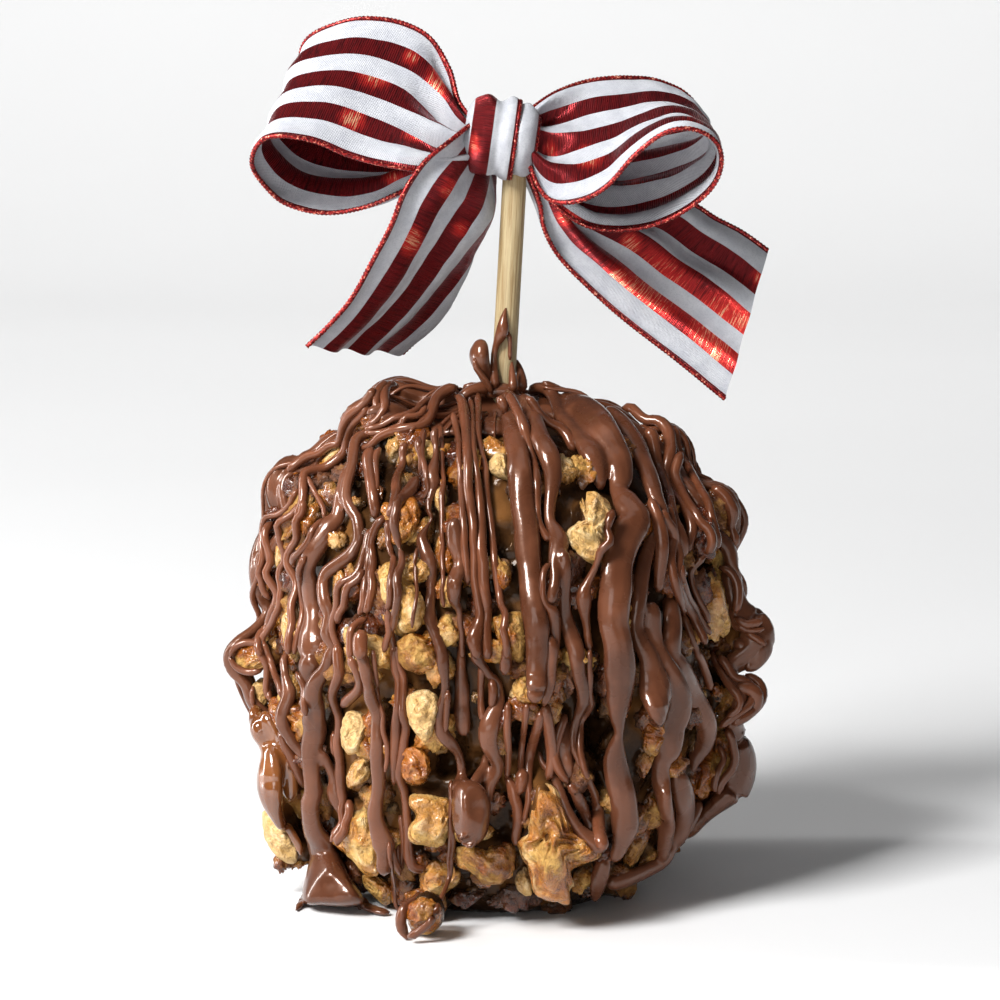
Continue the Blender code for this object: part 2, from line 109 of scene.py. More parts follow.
def setAttribute(obj, name, values):
    layer = obj.data.attributes.new(name, "FLOAT", "POINT")
    layer.data.foreach_set("value", np.asarray(values, dtype=np.float32).ravel())


def makePiece(name, points, faces):
    mesh = bpy.data.meshes.new(name)
    mesh.from_pydata([tuple(p) for p in points], [], faces)
    obj = bpy.data.objects.new(name, mesh)
    bpy.context.collection.objects.link(obj)
    return obj


def orderFaces(obj):  # a sphere's faces can come in another order each run
    faces = []
    for polygon in obj.data.polygons:
        corners = list(polygon.vertices)
        start = corners.index(min(corners))
        faces.append(corners[start:] + corners[:start])
    points = pointsOf(obj).tolist()
    obj.data.clear_geometry()
    obj.data.from_pydata(points, [], sorted(faces))
    obj.data.update()


def liftToGround(obj):  # nothing reaches under the ground
    points = pointsOf(obj)
    points[:, 2] = np.maximum(points[:, 2], 0)
    setPoints(obj, points)


def turnOutward(obj):  # all the faces
    pick(obj)
    bpy.ops.object.mode_set(mode="EDIT")
    bpy.ops.mesh.select_all(action="SELECT")
    bpy.ops.mesh.normals_make_consistent(inside=False)
    bpy.ops.object.mode_set(mode="OBJECT")


def copyOf(obj, name):
    copied = bpy.data.objects.new(name, obj.data.copy())
    bpy.context.collection.objects.link(copied)
    return copied


def ringFaces(count, sides):  # the faces of a tube of rings, closed at both ends
    faces = []
    for i in range(count - 1):
        for k in range(sides):
            a, b = i * sides + k, i * sides + (k + 1) % sides
            faces.append((a, b, b + sides, a + sides))
    faces.append(tuple(range(sides))[::-1])
    faces.append(tuple((count - 1) * sides + k for k in range(sides)))
    return faces


def joinAs(name, objs):
    pick(*objs)
    if len(objs) > 1:
        bpy.ops.object.join()
    obj = bpy.context.view_layer.objects.active
    obj.name = obj.data.name = name
    return obj


def triangleCount(obj):
    return sum(len(polygon.vertices) - 2 for polygon in obj.data.polygons)


def thinOut(obj, most):  # fewer triangles, where there are more than needed
    count = triangleCount(obj)
    if count > most:
        applyModifier(obj, "DECIMATE", ratio=most / count, use_collapse_triangulate=True)


def surfaceTree(*objs):
    points, faces, first = [], [], 0
    for obj in objs:
        points.append(pointsOf(obj))
        faces += [[first + i for i in polygon.vertices] for polygon in obj.data.polygons]
        first += len(obj.data.vertices)
    return BVHTree.FromPolygons(np.concatenate(points).tolist(), faces)


def smoothCurve(stations, position):  # a curve through all the stations
    last = len(stations) - 1
    i = min(int(position), last - 1)
    t = position - i
    before, after = stations[max(i - 1, 0)], stations[min(i + 2, last)]
    a, b = stations[i], stations[i + 1]
    square = 2 * before - 5 * a + 4 * b - after
    cube = 3 * a - before - 3 * b + after
    return a + 0.5 * ((b - before) * t + square * t**2 + cube * t**3)


def evenCurve(stations, spacing, along=3):  # the same curve, at an even spacing of its first values
    fine = [smoothCurve(stations, i / 12) for i in range(12 * (len(stations) - 1) + 1)]
    fine = np.array(fine)
    run = np.concatenate([[0], np.cumsum(np.linalg.norm(np.diff(fine[:, :along], axis=0), axis=1))])
    count = max(3, int(run[-1] / spacing) + 1)
    wanted = np.linspace(0, run[-1], count)
    return np.stack([np.interp(wanted, run, fine[:, k]) for k in range(fine.shape[1])], axis=1)


def blur(values, width):  # evens out a row of numbers, its ends kept
    if width < 0.3:
        return np.array(values, dtype=float)
    reach = max(1, int(width * 2.5))
    weights = np.exp(-0.5 * (np.arange(-reach, reach + 1) / width) ** 2)
    values = np.asarray(values, dtype=float)
    flat = values.ndim == 1
    table = values[:, None] if flat else values
    padded = np.concatenate([np.repeat(table[:1], reach, 0), table, np.repeat(table[-1:], reach, 0)])
    weights /= weights.sum()
    out = np.stack([np.convolve(padded[:, k], weights, "valid") for k in range(table.shape[1])], 1)
    return out[:, 0] if flat else out


# Shader tools
class Wire:  # a socket that sums and products can be written with
    def __init__(self, finish, socket):
        self.finish, self.socket = finish, socket

    def calc(self, operation, first, second):
        return self.finish.add("Math", {"operation": operation}, {0: first, 1: second})

    def __add__(self, other):
        return self.calc("ADD", self, other)

    def __radd__(self, other):
        return self.calc("ADD", other, self)

    def __sub__(self, other):
        return self.calc("SUBTRACT", self, other)

    def __rsub__(self, other):
        return self.calc("SUBTRACT", other, self)

    def __mul__(self, other):
        return self.calc("MULTIPLY", self, other)

    def __rmul__(self, other):
        return self.calc("MULTIPLY", other, self)

    def __truediv__(self, other):
        return self.calc("DIVIDE", self, other)

    def __pow__(self, other):
        return self.calc("POWER", self, other)


class Finish:  # a material with one Principled shader
    def __init__(self, name, shaderValues):
        self.material = bpy.data.materials.new(name)
        self.material.use_nodes = True
        self.tree = self.material.node_tree
        self.tree.nodes.clear()
        self.shader = self.tree.nodes.new("ShaderNodeBsdfPrincipled")
        output = self.tree.nodes.new("ShaderNodeOutputMaterial")
        self.tree.links.new(self.shader.outputs[0], output.inputs[0])
        self.feed(self.shader, shaderValues)

    def feed(self, node, inputs):
        for key, value in inputs.items():
            if isinstance(value, Wire):
                self.tree.links.new(value.socket, node.inputs[key])
            elif isinstance(value, tuple) and node.inputs[key].type == "RGBA":
                node.inputs[key].default_value = (*value, 1)
            else:
                node.inputs[key].default_value = value

    def add(self, kind, settings=None, inputs=None, output=0):
        node = self.tree.nodes.new("ShaderNode" + kind)
        for key, value in (settings or {}).items():
            if key == "stops":
                ramp = node.color_ramp.elements
                while len(ramp) < len(value):
                    ramp.new(0.5)
                for stop, (place, colour) in zip(ramp, value):
                    stop.position, stop.color = place, (*colour, 1)
            else:
                setattr(node, key, value)
        self.feed(node, inputs or {})
        return Wire(self, node.outputs[output])

    def place(self):
        return self.add("TexCoord", output="Object")

    def attribute(self, name):
        return self.add("Attribute", {"attribute_name": name}, output="Fac")

    def cloud(self, vector, scale, detail=3, roughness=0.5, distortion=0):
        inputs = {"Vector": vector, "Scale": scale, "Detail": detail, "Roughness": roughness,
                  "Distortion": distortion}
        return self.add("TexNoise", {}, inputs)

    def between(self, value, low, high, first=0, second=1):  # soft step from low to high
        inputs = {0: value, 1: low, 2: high, 3: first, 4: second}
        return self.add("MapRange", {"interpolation_type": "SMOOTHSTEP"}, inputs)

    def mix(self, factor, first, second, blend="MIX"):
        settings = {"data_type": "RGBA", "blend_type": blend}
        return self.add("Mix", settings, {0: factor, 6: first, 7: second}, 2)

    def bump(self, height, strength, distance, under=None):
        inputs = {"Strength": strength, "Distance": distance, "Height": height}
        if under:
            inputs["Normal"] = under
        return self.add("Bump", {}, inputs)


# The core
apple = {  # mm
    "radius": 47.5,
    "waist": 60,  # height of the widest place
    "rise": 52,
    "drop": 69,
    "shoulderPower": 2.8,
    "footPower": 2.6,
    "top": 109.5,
    "rim": 17.6,  # radius at which the dimple starts
    "dimple": 4,
    "heart": (0, 0, 58),
    # shares of the way from the upper to the lower pole
    "dimpleShare": 0.08,
    "sideShare": 0.85,
    "footStart": 0.93,
    "footShare": 0.07,
}


def coreRadius(height):  # mm
    if height > apple["waist"]:
        fall = ((height - apple["waist"]) / apple["rise"]) ** apple["shoulderPower"]
    else:
        fall = ((apple["waist"] - height) / apple["drop"]) ** apple["footPower"]
    return apple["radius"] * math.sqrt(max(0, 1 - fall))


def aim(azimuth, polar):  # 0, 90 looks at the viewer, and polar counts down from the top
    turn, fall = math.radians(azimuth), math.radians(polar)
    return Vector((math.sin(turn) * math.sin(fall), -math.cos(turn) * math.sin(fall), math.cos(fall)))


def spotOnCore(azimuth, height):  # metres
    return (aim(azimuth, 90) * coreRadius(height) + Vector((0, 0, height))) * mm


def nutFrame(azimuth, height, turn, lift):  # where a nut lies on the core
    change = coreRadius(height + 0.5) - coreRadius(height - 0.5)
    slope = Vector((1, -change)).normalized()
    outward = aim(azimuth, 90) * slope.x + Vector((0, 0, slope.y))
    along = Vector((math.cos(math.radians(azimuth)), math.sin(math.radians(azimuth)), 0))
    basis = Matrix((along, outward.cross(along), outward)).transposed().to_4x4()
    place = Matrix.Translation(spotOnCore(azimuth, height) + outward * lift * mm)
    return place @ basis @ Matrix.Rotation(math.radians(turn), 4, "Z")


def shapeCore():
    deselectAll()
    bpy.ops.mesh.primitive_uv_sphere_add(segments=160, ring_count=120, radius=1)
    core = bpy.context.object
    orderFaces(core)
    points = pointsOf(core)
    fall = np.arccos(np.clip(points[:, 2], -1, 1)) / math.pi
    turn = np.arctan2(points[:, 1], points[:, 0])
    for i, (share, way) in enumerate(zip(fall, turn)):
        if share < apple["dimpleShare"]:
            radius = apple["rim"] * share / apple["dimpleShare"]
            height = apple["top"] - apple["dimple"] * (1 - (share / apple["dimpleShare"]) ** 2)
        elif share > apple["footStart"]:
            radius, height = coreRadius(0) * (1 - share) / apple["footShare"], 0
        else:
            turned = math.pi * (share - apple["dimpleShare"]) / apple["sideShare"]
            height = apple["top"] * 0.5 * (1 + math.cos(turned))
            radius = coreRadius(height)
        points[i] = (radius * math.cos(way), radius * math.sin(way), height)
    setPoints(core, points * mm)
    return core


# The walnuts
walnuts = {  # mm
    "kinds": 12,
    "fineKinds": 4,  # shaped with more faces
    "lobeDepth": 0.26,
    "triangles": (2600, 1300, 540, 60),
    "spread": 72,
    "room": 6.6,  # mm between them
    "front": 62,  # degrees to each side where the pieces are placed one by one
    "fillers": 330,
    "fillerRoom": 4.1,
    "tries": 4000,
    "crumbs": 120,
    "loose": 1.4,  # mm off the core, past which a piece is left out
}

# azimuth, height, length, width, thickness, turn, lift
chosenNuts = [
    (16, 12, 20, 17, 11, 35, 1.5), (-2, 9, 15, 13, 10, 0, 1), (-19, 19, 14, 13, 10, 20, 1),
    (-42, 11, 14, 12, 10, 60, 1), (-86, 11, 15, 9, 11, 95, 8), (-80, 24, 16, 11, 11, 60, 5),
    (-66, 8, 14, 12, 10, 20, 2), (80, 30, 15, 11, 10, 40, 4), (76, 17, 14, 11, 9, 30, 1),
    (58, 8, 13, 11, 9, 60, 0.5), (-88, 55, 13, 8, 7, 10, 5), (-39, 38, 11, 7, 7, 80, 1.5),
    (-18, 42, 11, 10, 9, 30, 1), (29, 88, 15, 9, 9, 120, 3), (1, 97, 10, 8, 8, 60, 2),
    (27, 98, 13, 10, 8, 10, 1), (-68, 105, 13, 10, 12, 20, 4), (-84, 91, 13, 9, 9, 0, 4),
    (73, 68, 17, 9, 9, 95, 3), (88, 58, 15, 10, 9, 30, 6), (80, 46, 14, 9, 9, 150, 5),
    (-27, 86, 14, 9, 9, 75, 2), (-18, 64, 15, 10, 9, 20, 1), (6, 48, 13, 11, 9, 5, 1),
    (70, 84, 14, 10, 9, 60, 4),
]

# pieces placed from the front: across, down, width, height, lean, tone (from 0, a pale break, to 1,
# dark skin) and lift
seenNuts = [
    (394, 451, 16, 26, 10, 0.3, 1.5), (327, 476, 20, 22, 0, 0.5, 1.5), (410, 482, 16, 18, 0, 0.5, 1),
    (378, 498, 18, 24, 0, 0.6, 1), (359, 508, 18, 20, 20, 0.4, 1.5), (440, 498, 22, 34, 0, 0.5, 1),
    (390, 540, 26, 26, 0, 0.45, 1), (343, 542, 26, 22, 30, 0.3, 2), (291, 534, 18, 24, 0, 0.4, 2),
    (414, 567, 22, 28, 0, 0.3, 1.5), (386, 577, 20, 24, 0, 0.6, 1), (444, 589, 20, 24, 15, 0.3, 1),
    (503, 571, 18, 24, 0, 0.7, 0.5), (495, 623, 18, 22, 0, 0.5, 1), (487, 419, 20, 22, 0, 0.5, 1),
    (577, 476, 34, 34, 30, 0.4, 2), (583, 550, 26, 30, 0, 0.85, 2), (695, 551, 16, 18, 0, 0.25, 2),
    (277, 641, 22, 24, 0, 0.3, 3), (330, 697, 22, 28, 0, 0.35, 1.5), (341, 692, 16, 18, 0, 0.8, 1),
    (414, 767, 18, 24, 10, 0.45, 1.5), (424, 858, 24, 26, 0, 0.5, 2), (304, 860, 16, 14, 0, 0.4, 1),
    (518, 693, 18, 26, 10, 0.05, 1.5), (509, 630, 16, 18, 0, 0.5, 1), (567, 676, 24, 44, 0, 0.9, 1),
    (644, 743, 13, 24, -8, 0.05, 2), (640, 762, 22, 30, 0, 0.5, 1.5), (690, 736, 14, 36, 6, 0.3, 2),
    (652, 800, 24, 44, 0, 0.35, 1.5), (624, 860, 20, 14, 0, 0.3, 1), (298, 856, 14, 18, 0, 0.4, 0),
    (262, 691, 26, 28, 8, 0.15, 0), (247, 657, 40, 28, 10, 0.5, 0), (278, 670, 9, 20, 0, 0.1, 2),
    (274, 692, 9, 22, -10, 0.1, 2), (275, 722, 9, 32, 15, 0.1, 0), (295, 707, 14, 12, 0, 0.5, 1),
    (296, 727, 14, 14, 0, 0.6, 1), (708, 641, 9, 16, 0, 0.4, 2), (714, 690, 13, 34, -14, 0.4, 2),
    (700, 655, 16, 22, 0, 0.5, 1), (729, 758, 11, 28, 0, 0.25, 2), (716, 760, 14, 26, 0, 0.6, 1.5),
    (701, 770, 13, 11, 0, 0.3, 2), (742, 686, 14, 26, -20, 0.35, 2), (716, 503, 26, 34, -25, 0.75, 1),
    (385, 402, 26, 22, 30, 0.7, 1), (593, 659, 14, 24, 0, 0.7, 0), (715, 557, 10, 13, 0, 0.4, 3),
    (476, 698, 10, 14, 0, 0.2, 1), (513, 492, 16, 40, 0, 0.95, 0), (440, 690, 14, 18, 0, 0.6, 0),
    (752, 638, 34, 44, 30, 0.95, 0), (750, 697, 30, 30, 0, 0.6, 0), (292, 487, 34, 34, 0, 0.5, 0),
    (277, 520, 30, 34, 0, 0.8, 0), (273, 550, 32, 34, 0, 0.7, 0), (272, 582, 32, 34, 0, 0.8, 0),
    (281, 611, 30, 30, 0, 0.6, 0), (268, 633, 32, 26, 0, 0.5, 0), (670, 442, 40, 36, 0, 0.8, 0),
    (682, 472, 36, 36, 0, 0.7, 0), (710, 515, 52, 48, 0, 0.8, 0), (716, 550, 42, 46, 0, 0.5, 0),
    (716, 584, 44, 46, 0, 0.6, 0), (718, 618, 42, 40, 0, 0.4, 0), (722, 645, 44, 36, 0, 0.8, 0),
    (726, 672, 36, 30, 0, 0.6, 0), (714, 732, 42, 40, 0, 0.5, 0), (721, 758, 34, 30, 0, 0.3, 0),
    (705, 781, 36, 32, 0, 0.6, 0), (688, 812, 36, 34, 0, 0.7, 0), (670, 840, 36, 32, 0, 0.7, 0),
    (638, 864, 38, 30, 0, 0.6, 0), (468, 894, 40, 24, 0, 0.85, 1), (503, 898, 36, 20, 0, 0.75, 1),
    (590, 886, 30, 26, 0, 0.85, 1), (556, 903, 34, 18, 0, 0.8, 1), (430, 892, 30, 22, 0, 0.8, 0),
    (335, 888, 40, 30, 0, 0.8, 0), (333, 444, 34, 26, 0, 0.7, 0), (283, 862, 18, 24, 0, 0.7, 0),
]


# nuts whose own outline shows: tone, hollow middle, lift, then the outline across and down the picture
outlinedNuts = [
    (0.36, 0.12, 3.5, [(537, 781), (552, 783), (562, 795), (572, 821), (581, 832), (601, 851), (592, 861),
     (576, 867), (566, 877), (575, 887), (575, 897), (566, 902), (541, 897), (533, 891), (529, 872),
     (520, 851), (516, 843), (525, 834), (529, 812)]),
    (0.5, 0, 3, [(455, 846), (479, 842), (512, 842), (514, 868), (504, 882), (497, 885), (484, 884),
     (473, 874), (455, 864)]),
    (0.22, 0, 3, [(410, 795), (424, 792), (438, 795), (451, 800), (452, 825), (447, 838), (440, 847),
     (425, 846), (411, 842), (409, 828), (416, 815), (409, 806)]),
    (0.12, 0, 2, [(516, 872), (524, 864), (529, 872), (532, 885), (531, 896), (521, 893), (515, 884)]),
    (0.3, 0, 1.5, [(420, 872), (432, 860), (447, 859), (460, 866), (462, 880), (450, 890), (440, 897),
     (428, 899), (420, 888)]),
    (0.25, 0, 3, [(340, 834), (345, 815), (360, 806), (371, 794), (374, 810), (384, 830), (383, 858),
     (378, 875), (366, 876), (357, 866), (345, 851)]),
    (0.3, 0, 1.5, [(362, 875), (380, 876), (393, 885), (392, 900), (386, 906), (375, 898), (364, 886)]),
    (0.35, 0, 1.5, [(398, 890), (408, 884), (416, 888), (417, 900), (408, 908), (399, 904)]),
    (0.45, 0, 2, [(408, 905), (425, 896), (441, 905), (441, 922), (431, 934), (414, 932), (407, 920)]),
    (0.02, 0, 3, [(346, 712), (360, 711), (368, 722), (366, 740), (358, 753), (348, 754), (341, 742),
     (342, 722)]),
    (0.2, 0, 1.5, [(346, 778), (352, 764), (365, 750), (372, 745), (371, 765), (371, 776), (362, 784),
     (349, 789)]),
    (0.02, 0, 1, [(262, 811), (275, 809), (285, 818), (292, 835), (298, 850), (297, 861), (290, 864),
     (278, 858), (268, 845), (263, 830)]),
    (0.15, 0, 1, [(293, 792), (303, 787), (307, 800), (306, 815), (300, 830), (295, 818), (292, 805)]),
    (0.55, 0, 0, [(292, 818), (306, 820), (307, 850), (300, 858), (295, 845)]),
    (0.14, 0, 3.5, [(579, 497), (588, 491), (600, 495), (610, 505), (611, 520), (606, 535), (606, 550),
     (599, 563), (586, 561), (572, 547), (567, 533), (578, 522), (588, 515), (580, 508)]),
    (0.0, 0, 3, [(409, 694), (422, 689), (436, 693), (440, 712), (434, 730), (426, 742), (415, 734),
     (409, 722), (406, 706)]),
    (0.0, 0, 2, [(489, 462), (496, 453), (505, 454), (508, 465), (510, 480), (501, 479), (490, 472)]),
    (0.36, 0, 3, [(398, 500), (412, 496), (420, 505), (420, 521), (414, 536), (402, 545), (391, 541),
     (394, 518)]),
    (0.18, 0, 2, [(341, 624), (350, 618), (359, 632), (363, 652), (376, 664), (394, 670), (390, 683),
     (362, 680), (347, 662)]),
    (0.52, 0, 2.5, [(396, 642), (412, 632), (430, 640), (440, 655), (436, 669), (418, 674), (400, 664)]),
    (0.16, 0, 2.5, [(380, 580), (396, 571), (411, 581), (425, 600), (428, 618), (416, 633), (400, 631),
     (394, 612), (383, 600)]),
    (0.12, 0, 2, [(712, 585), (722, 578), (733, 590), (734, 610), (729, 628), (719, 636), (710, 620),
     (708, 600)]),
    (0.5, 0, 1, [(452, 790), (480, 786), (486, 800), (484, 820), (478, 838), (462, 843), (452, 835),
     (449, 810)]),
    (0.6, 0, 0, [(705, 488), (722, 487), (731, 497), (733, 520), (731, 540), (721, 545), (706, 540)]),
    (0.35, 0, 0, [(712, 568), (728, 568), (738, 584), (738, 605), (733, 622), (720, 633), (710, 625),
     (708, 590)]),
    (0.45, 0, 0, [(714, 732), (731, 731), (737, 746), (736, 766), (728, 785), (714, 787)]),
    (0.45, 0, 0, [(231, 655), (235, 646), (246, 643), (261, 645), (270, 655), (267, 667), (248, 671),
     (236, 667)]),
    (0.8, 0, 1, [(376, 400), (386, 388), (402, 385), (411, 394), (411, 406), (400, 414), (384, 414)]),
    (0.45, 0, 1.5, [(481, 405), (490, 401), (499, 406), (498, 420), (492, 434), (484, 428)]),
    (0.25, 0, 1.5, [(511, 690), (515, 680), (524, 675), (536, 678), (546, 690), (545, 702), (530, 704),
     (517, 700)]),
    (0.45, 0, 1.5, [(492, 618), (505, 613), (520, 612), (527, 625), (526, 650), (520, 664), (508, 655),
     (497, 640)]),
    (0.18, 0, 1.5, [(439, 580), (448, 575), (456, 580), (457, 595), (452, 606), (441, 606)]),
    (0.4, 0, 1, [(496, 566), (503, 560), (510, 568), (511, 582), (504, 590), (497, 582)]),
    (0.12, 0, 1, [(434, 494), (439, 486), (446, 490), (447, 504), (442, 514), (435, 507)]),
    (0.45, 0, 2, [(640, 724), (648, 715), (660, 716), (668, 730), (664, 745), (655, 757), (643, 750)]),
    (0.5, 0, 2, [(640, 800), (648, 786), (660, 784), (666, 800), (664, 822), (652, 830), (640, 826)]),
    (0.5, 0, 1.5, [(690, 652), (698, 645), (707, 656), (709, 675), (703, 692), (693, 682)]),
    (0.12, 0, 0, [(281, 478), (284, 469), (293, 466), (300, 472), (299, 484), (291, 490), (283, 487)]),
    (0.25, 0, 2, [(388, 440), (398, 437), (403, 446), (401, 460), (393, 467), (386, 456)]),
    (0.28, 0, 1.5, [(318, 470), (330, 466), (337, 474), (334, 485), (322, 488)]),
    (0.25, 0, 1, [(268, 640), (276, 634), (284, 641), (284, 652), (276, 658), (269, 651)]),
    (0.3, 0, 0.5, [(254, 684), (261, 677), (269, 683), (270, 698), (262, 706), (255, 698)]),
    (0.2, 0, 2, [(403, 568), (412, 560), (424, 559), (432, 566), (429, 579), (416, 583), (405, 580)]),
    (0.3, 0, 1.5, [(377, 572), (386, 562), (398, 561), (402, 574), (396, 588), (383, 590)]),
    (0.55, 0, 0, [(404, 893), (418, 888), (438, 889), (446, 898), (445, 912), (430, 919), (412, 915)]),
    (0.65, 0, 0, [(410, 882), (428, 879), (448, 882), (452, 895), (446, 907), (428, 910), (412, 903)]),
    (0.4, 0, 1.5, [(403, 748), (418, 745), (430, 755), (430, 775), (420, 785), (405, 782), (400, 765)]),
]

# dark hollows between the pieces: across, down, half width, half height, depth in mm
hollows = [
    (457, 762, 27, 22, 7), (540, 742, 40, 34, 6), (597, 724, 17, 32, 10), (360, 797, 12, 14, 5),
    (505, 560, 14, 40, 2), (590, 800, 10, 24, 4), (496, 775, 22, 22, 5),
]


def inHollow(point):
    if point[1] > 0:
        return 0
    rough = Vector(point) / (4 * mm)
    uneven = np.array((noise.noise(rough), noise.noise(rough + Vector((9, 0, 0))))) * 14
    x, y = np.array(pictureSpot(point)) + uneven
    return max(deep * max(0, 1 - ((x - a) / wide) ** 2 - ((y - b) / tall) ** 2) ** 0.6
               for a, b, wide, tall, deep in hollows)


def ramp(value, low, high):  # soft step from 0 to 1
    t = min(1, max(0, (value - low) / (high - low)))
    return t * t * (3 - 2 * t)


def shapeWalnut(index):  # a lobed, creased piece with two broken faces
    deselectAll()
    bpy.ops.mesh.primitive_ico_sphere_add(subdivisions=6 if index < walnuts["fineKinds"] else 5, radius=1)
    nut = bpy.context.object
    rng = random.Random(300 + index)
    shift = Vector([rng.uniform(-50, 50) for _ in range(3)])
    size = rng.uniform(0.9, 1.3)
    cuts = []
    for turn in range(2):
        direction = Vector([rng.gauss(0, 1) for _ in range(3)])
        if index % 3 == 0 and turn == 0:
            direction = Vector((rng.gauss(0, 0.25), rng.gauss(0, 0.25), 1))
        cuts.append((direction.normalized(), rng.uniform(0.55, 0.8)))
    points = pointsOf(nut)
    flesh = np.zeros(len(points))
    for i, point in enumerate(points):
        way = Vector(point)
        spot = way * size + shift
        bend = Vector([noise.noise(spot * 1.3 + Vector((k * 9, 0, 0))) for k in range(3)])
        cells = noise.voronoi(spot * 1.15 + bend * 0.9)[0]
        crease = 1 - ramp(cells[1] - cells[0], 0, 0.5)
        wave = noise.noise(spot + Vector((0, 30, 0)))
        ridge = 1 - 2 * abs(noise.noise(spot * 1.9 + bend + Vector((0, 0, 70))))
        place = way * (1 + 0.34 * wave - walnuts["lobeDepth"] * crease + 0.12 * ridge)
        for direction, level in cuts:
            rough = 0.07 * noise.noise(spot * 3) + 0.025 * noise.noise(spot * 9)
            over = place.dot(direction) - level - rough
            if over > 0:
                place -= direction * over * 0.93
                flesh[i] = max(flesh[i], ramp(over, 0, 0.06))
        place += way * 0.022 * noise.noise(spot * 7)
        points[i] = place
    low, high = points.min(0), points.max(0)
    points = (points - (low + high) / 2) / ((high - low) / 2)
    setPoints(nut, points)
    applyModifier(nut, "SMOOTH", factor=0.5, iterations=8 if index < walnuts["fineKinds"] else 3)
    setAttribute(nut, "flesh", flesh)
    return nut


def facesMeeting(tree, spot):  # which way the faces that meet at a spot face, so that a tie changes nothing
    outward = Vector()
    for face in sorted(tree.find_nearest_range(spot, 0.005 * mm), key=lambda face: face[2]):
        outward += face[1]
    return outward.normalized()


def feel(tree, x, y):  # how far from the eye the outside lies, and which way it faces
    way = sightLine(x, y)
    hit = tree.ray_cast(eye, way)
    if hit[0] is not None:
        return hit[3], hit[1]
    best = (1, 0.9, eye)
    for depth in np.arange(0.85, 0.95, 0.004):  # metres from the eye, past the edge of the body
        near = tree.find_nearest(eye + way * depth)
        if near[3] < best[0]:
            best = (near[3], depth, near[0])
    return best[1] + 0.001, facesMeeting(tree, best[2])


def shapeOutlined(number, tree, tone, bowl, lift, outline):  # a piece whose outline the picture shows
    deselectAll()
    bpy.ops.mesh.primitive_ico_sphere_add(subdivisions=6 if len(outline) > 13 else 5, radius=1)
    nut = bpy.context.object
    shift = Vector((number * 7.3, number * 3.1, 40))
    corners = evenCurve([np.array(p, dtype=float) for p in outline + outline[:1]], 2, 2)
    middle = (corners.min(0) + corners.max(0)) / 2 * 0.4 + corners.mean(0) * 0.6
    away = corners - middle
    turns = np.arctan2(away[:, 1], away[:, 0])
    order = np.argsort(turns)
    turns, reach = turns[order], np.hypot(away[:, 0], away[:, 1])[order]
    turns = np.concatenate([turns - 2 * math.pi, turns, turns + 2 * math.pi])
    reach = np.concatenate([reach, reach, reach])
    span = corners.max(0) - corners.min(0)
    deep = (0.42 * min(span) * pixel / mm + 2) * mm
    way = sightLine(*middle)
    depth, outward = feel(tree, *middle)
    facing = (Vector(outward) * 0.6 - way).normalized()
    lowest = sightLine(middle[0], max(corners[:, 1]))
    if lowest.z < 0:  # stands on the ground with its lowest edge
        depth = min(depth, (eye.z - 0.5 * mm) / -lowest.z)
    heart = eye + way * (depth - lift * mm)
    points = pointsOf(nut)
    flesh = np.zeros(len(points))
    for i, (x, y, z) in enumerate(points):
        spot = Vector((x, y, z)) * 1.15 + shift
        bend = Vector([noise.noise(spot * 1.3 + Vector((k * 9, 0, 0))) for k in range(3)])
        cells = noise.voronoi(spot * 1.5 + bend * 0.8)[0]
        crease = 1 - ramp(cells[1] - cells[0], 0, 0.5)
        wave = noise.noise(spot * 1.3)
        ridge = 1 - 2 * abs(noise.noise(spot * 2.2 + bend))
        across = math.hypot(x, y)
        radius = float(np.interp(math.atan2(y, x), turns, reach))
        rim = 0.05 * ridge - 0.05 * crease * across + 0.03 * noise.noise(spot * 4)
        px, py = middle + np.array((x, y)) * radius * (1 + rim)
        tall = abs(z) ** 0.8 * (1 + 0.3 * wave - 0.1 * crease + 0.2 * ridge) + 0.04 * noise.noise(spot * 4)
        if z > 0:
            tall = max(0.2 * abs(z), tall - bowl * math.exp(-((across / 0.5) ** 2)))
        ray = sightLine(px, py)
        length = (heart - eye).dot(facing) / ray.dot(facing)
        point = eye + ray * (length - math.copysign(tall, z) * deep)
        point.z = max(point.z, 0.3 * mm)
        points[i] = point
        if bowl:
            flesh[i] = ramp(across + 0.3 * ridge, 0.8, 1.1)
        else:
            flesh[i] = ramp(ridge + wave * 0.6 - crease * 0.6, 0.2, 0.7)
    setPoints(nut, points)
    applyModifier(nut, "SMOOTH", factor=0.5, iterations=3)
    setAttribute(nut, "flesh", flesh)
    thinOut(nut, 9000 if len(outline) > 13 else 3600 if min(span) > 22 else 1800)
    setAttribute(nut, "tone", np.full(len(nut.data.vertices), tone))
    return nut


def copyNut(kinds, number, matrix, tone, most):
    nut = copyOf(kinds[number % len(kinds)][most], "nut")
    nut.data.transform(matrix)
    count = len(nut.data.vertices)
    rng = random.Random(number)
    setAttribute(nut, "tone", np.full(count, min(1, max(0, tone + rng.uniform(-0.12, 0.12)))))
    return nut


def nutSize(length, width, thickness):
    return Matrix.Diagonal((length / 2 * mm, width / 2 * mm, thickness / 2 * mm, 1))


def makeKinds():  # each kind of piece, with fewer and fewer triangles
    kinds = []
    for index in range(walnuts["kinds"]):
        nut = shapeWalnut(index)
        sizes = {}
        for most in walnuts["triangles"]:
            sizes[most] = copyOf(nut, "kind")
            thinOut(sizes[most], most)
        bpy.data.objects.remove(nut)
        kinds.append(sizes)
    return kinds


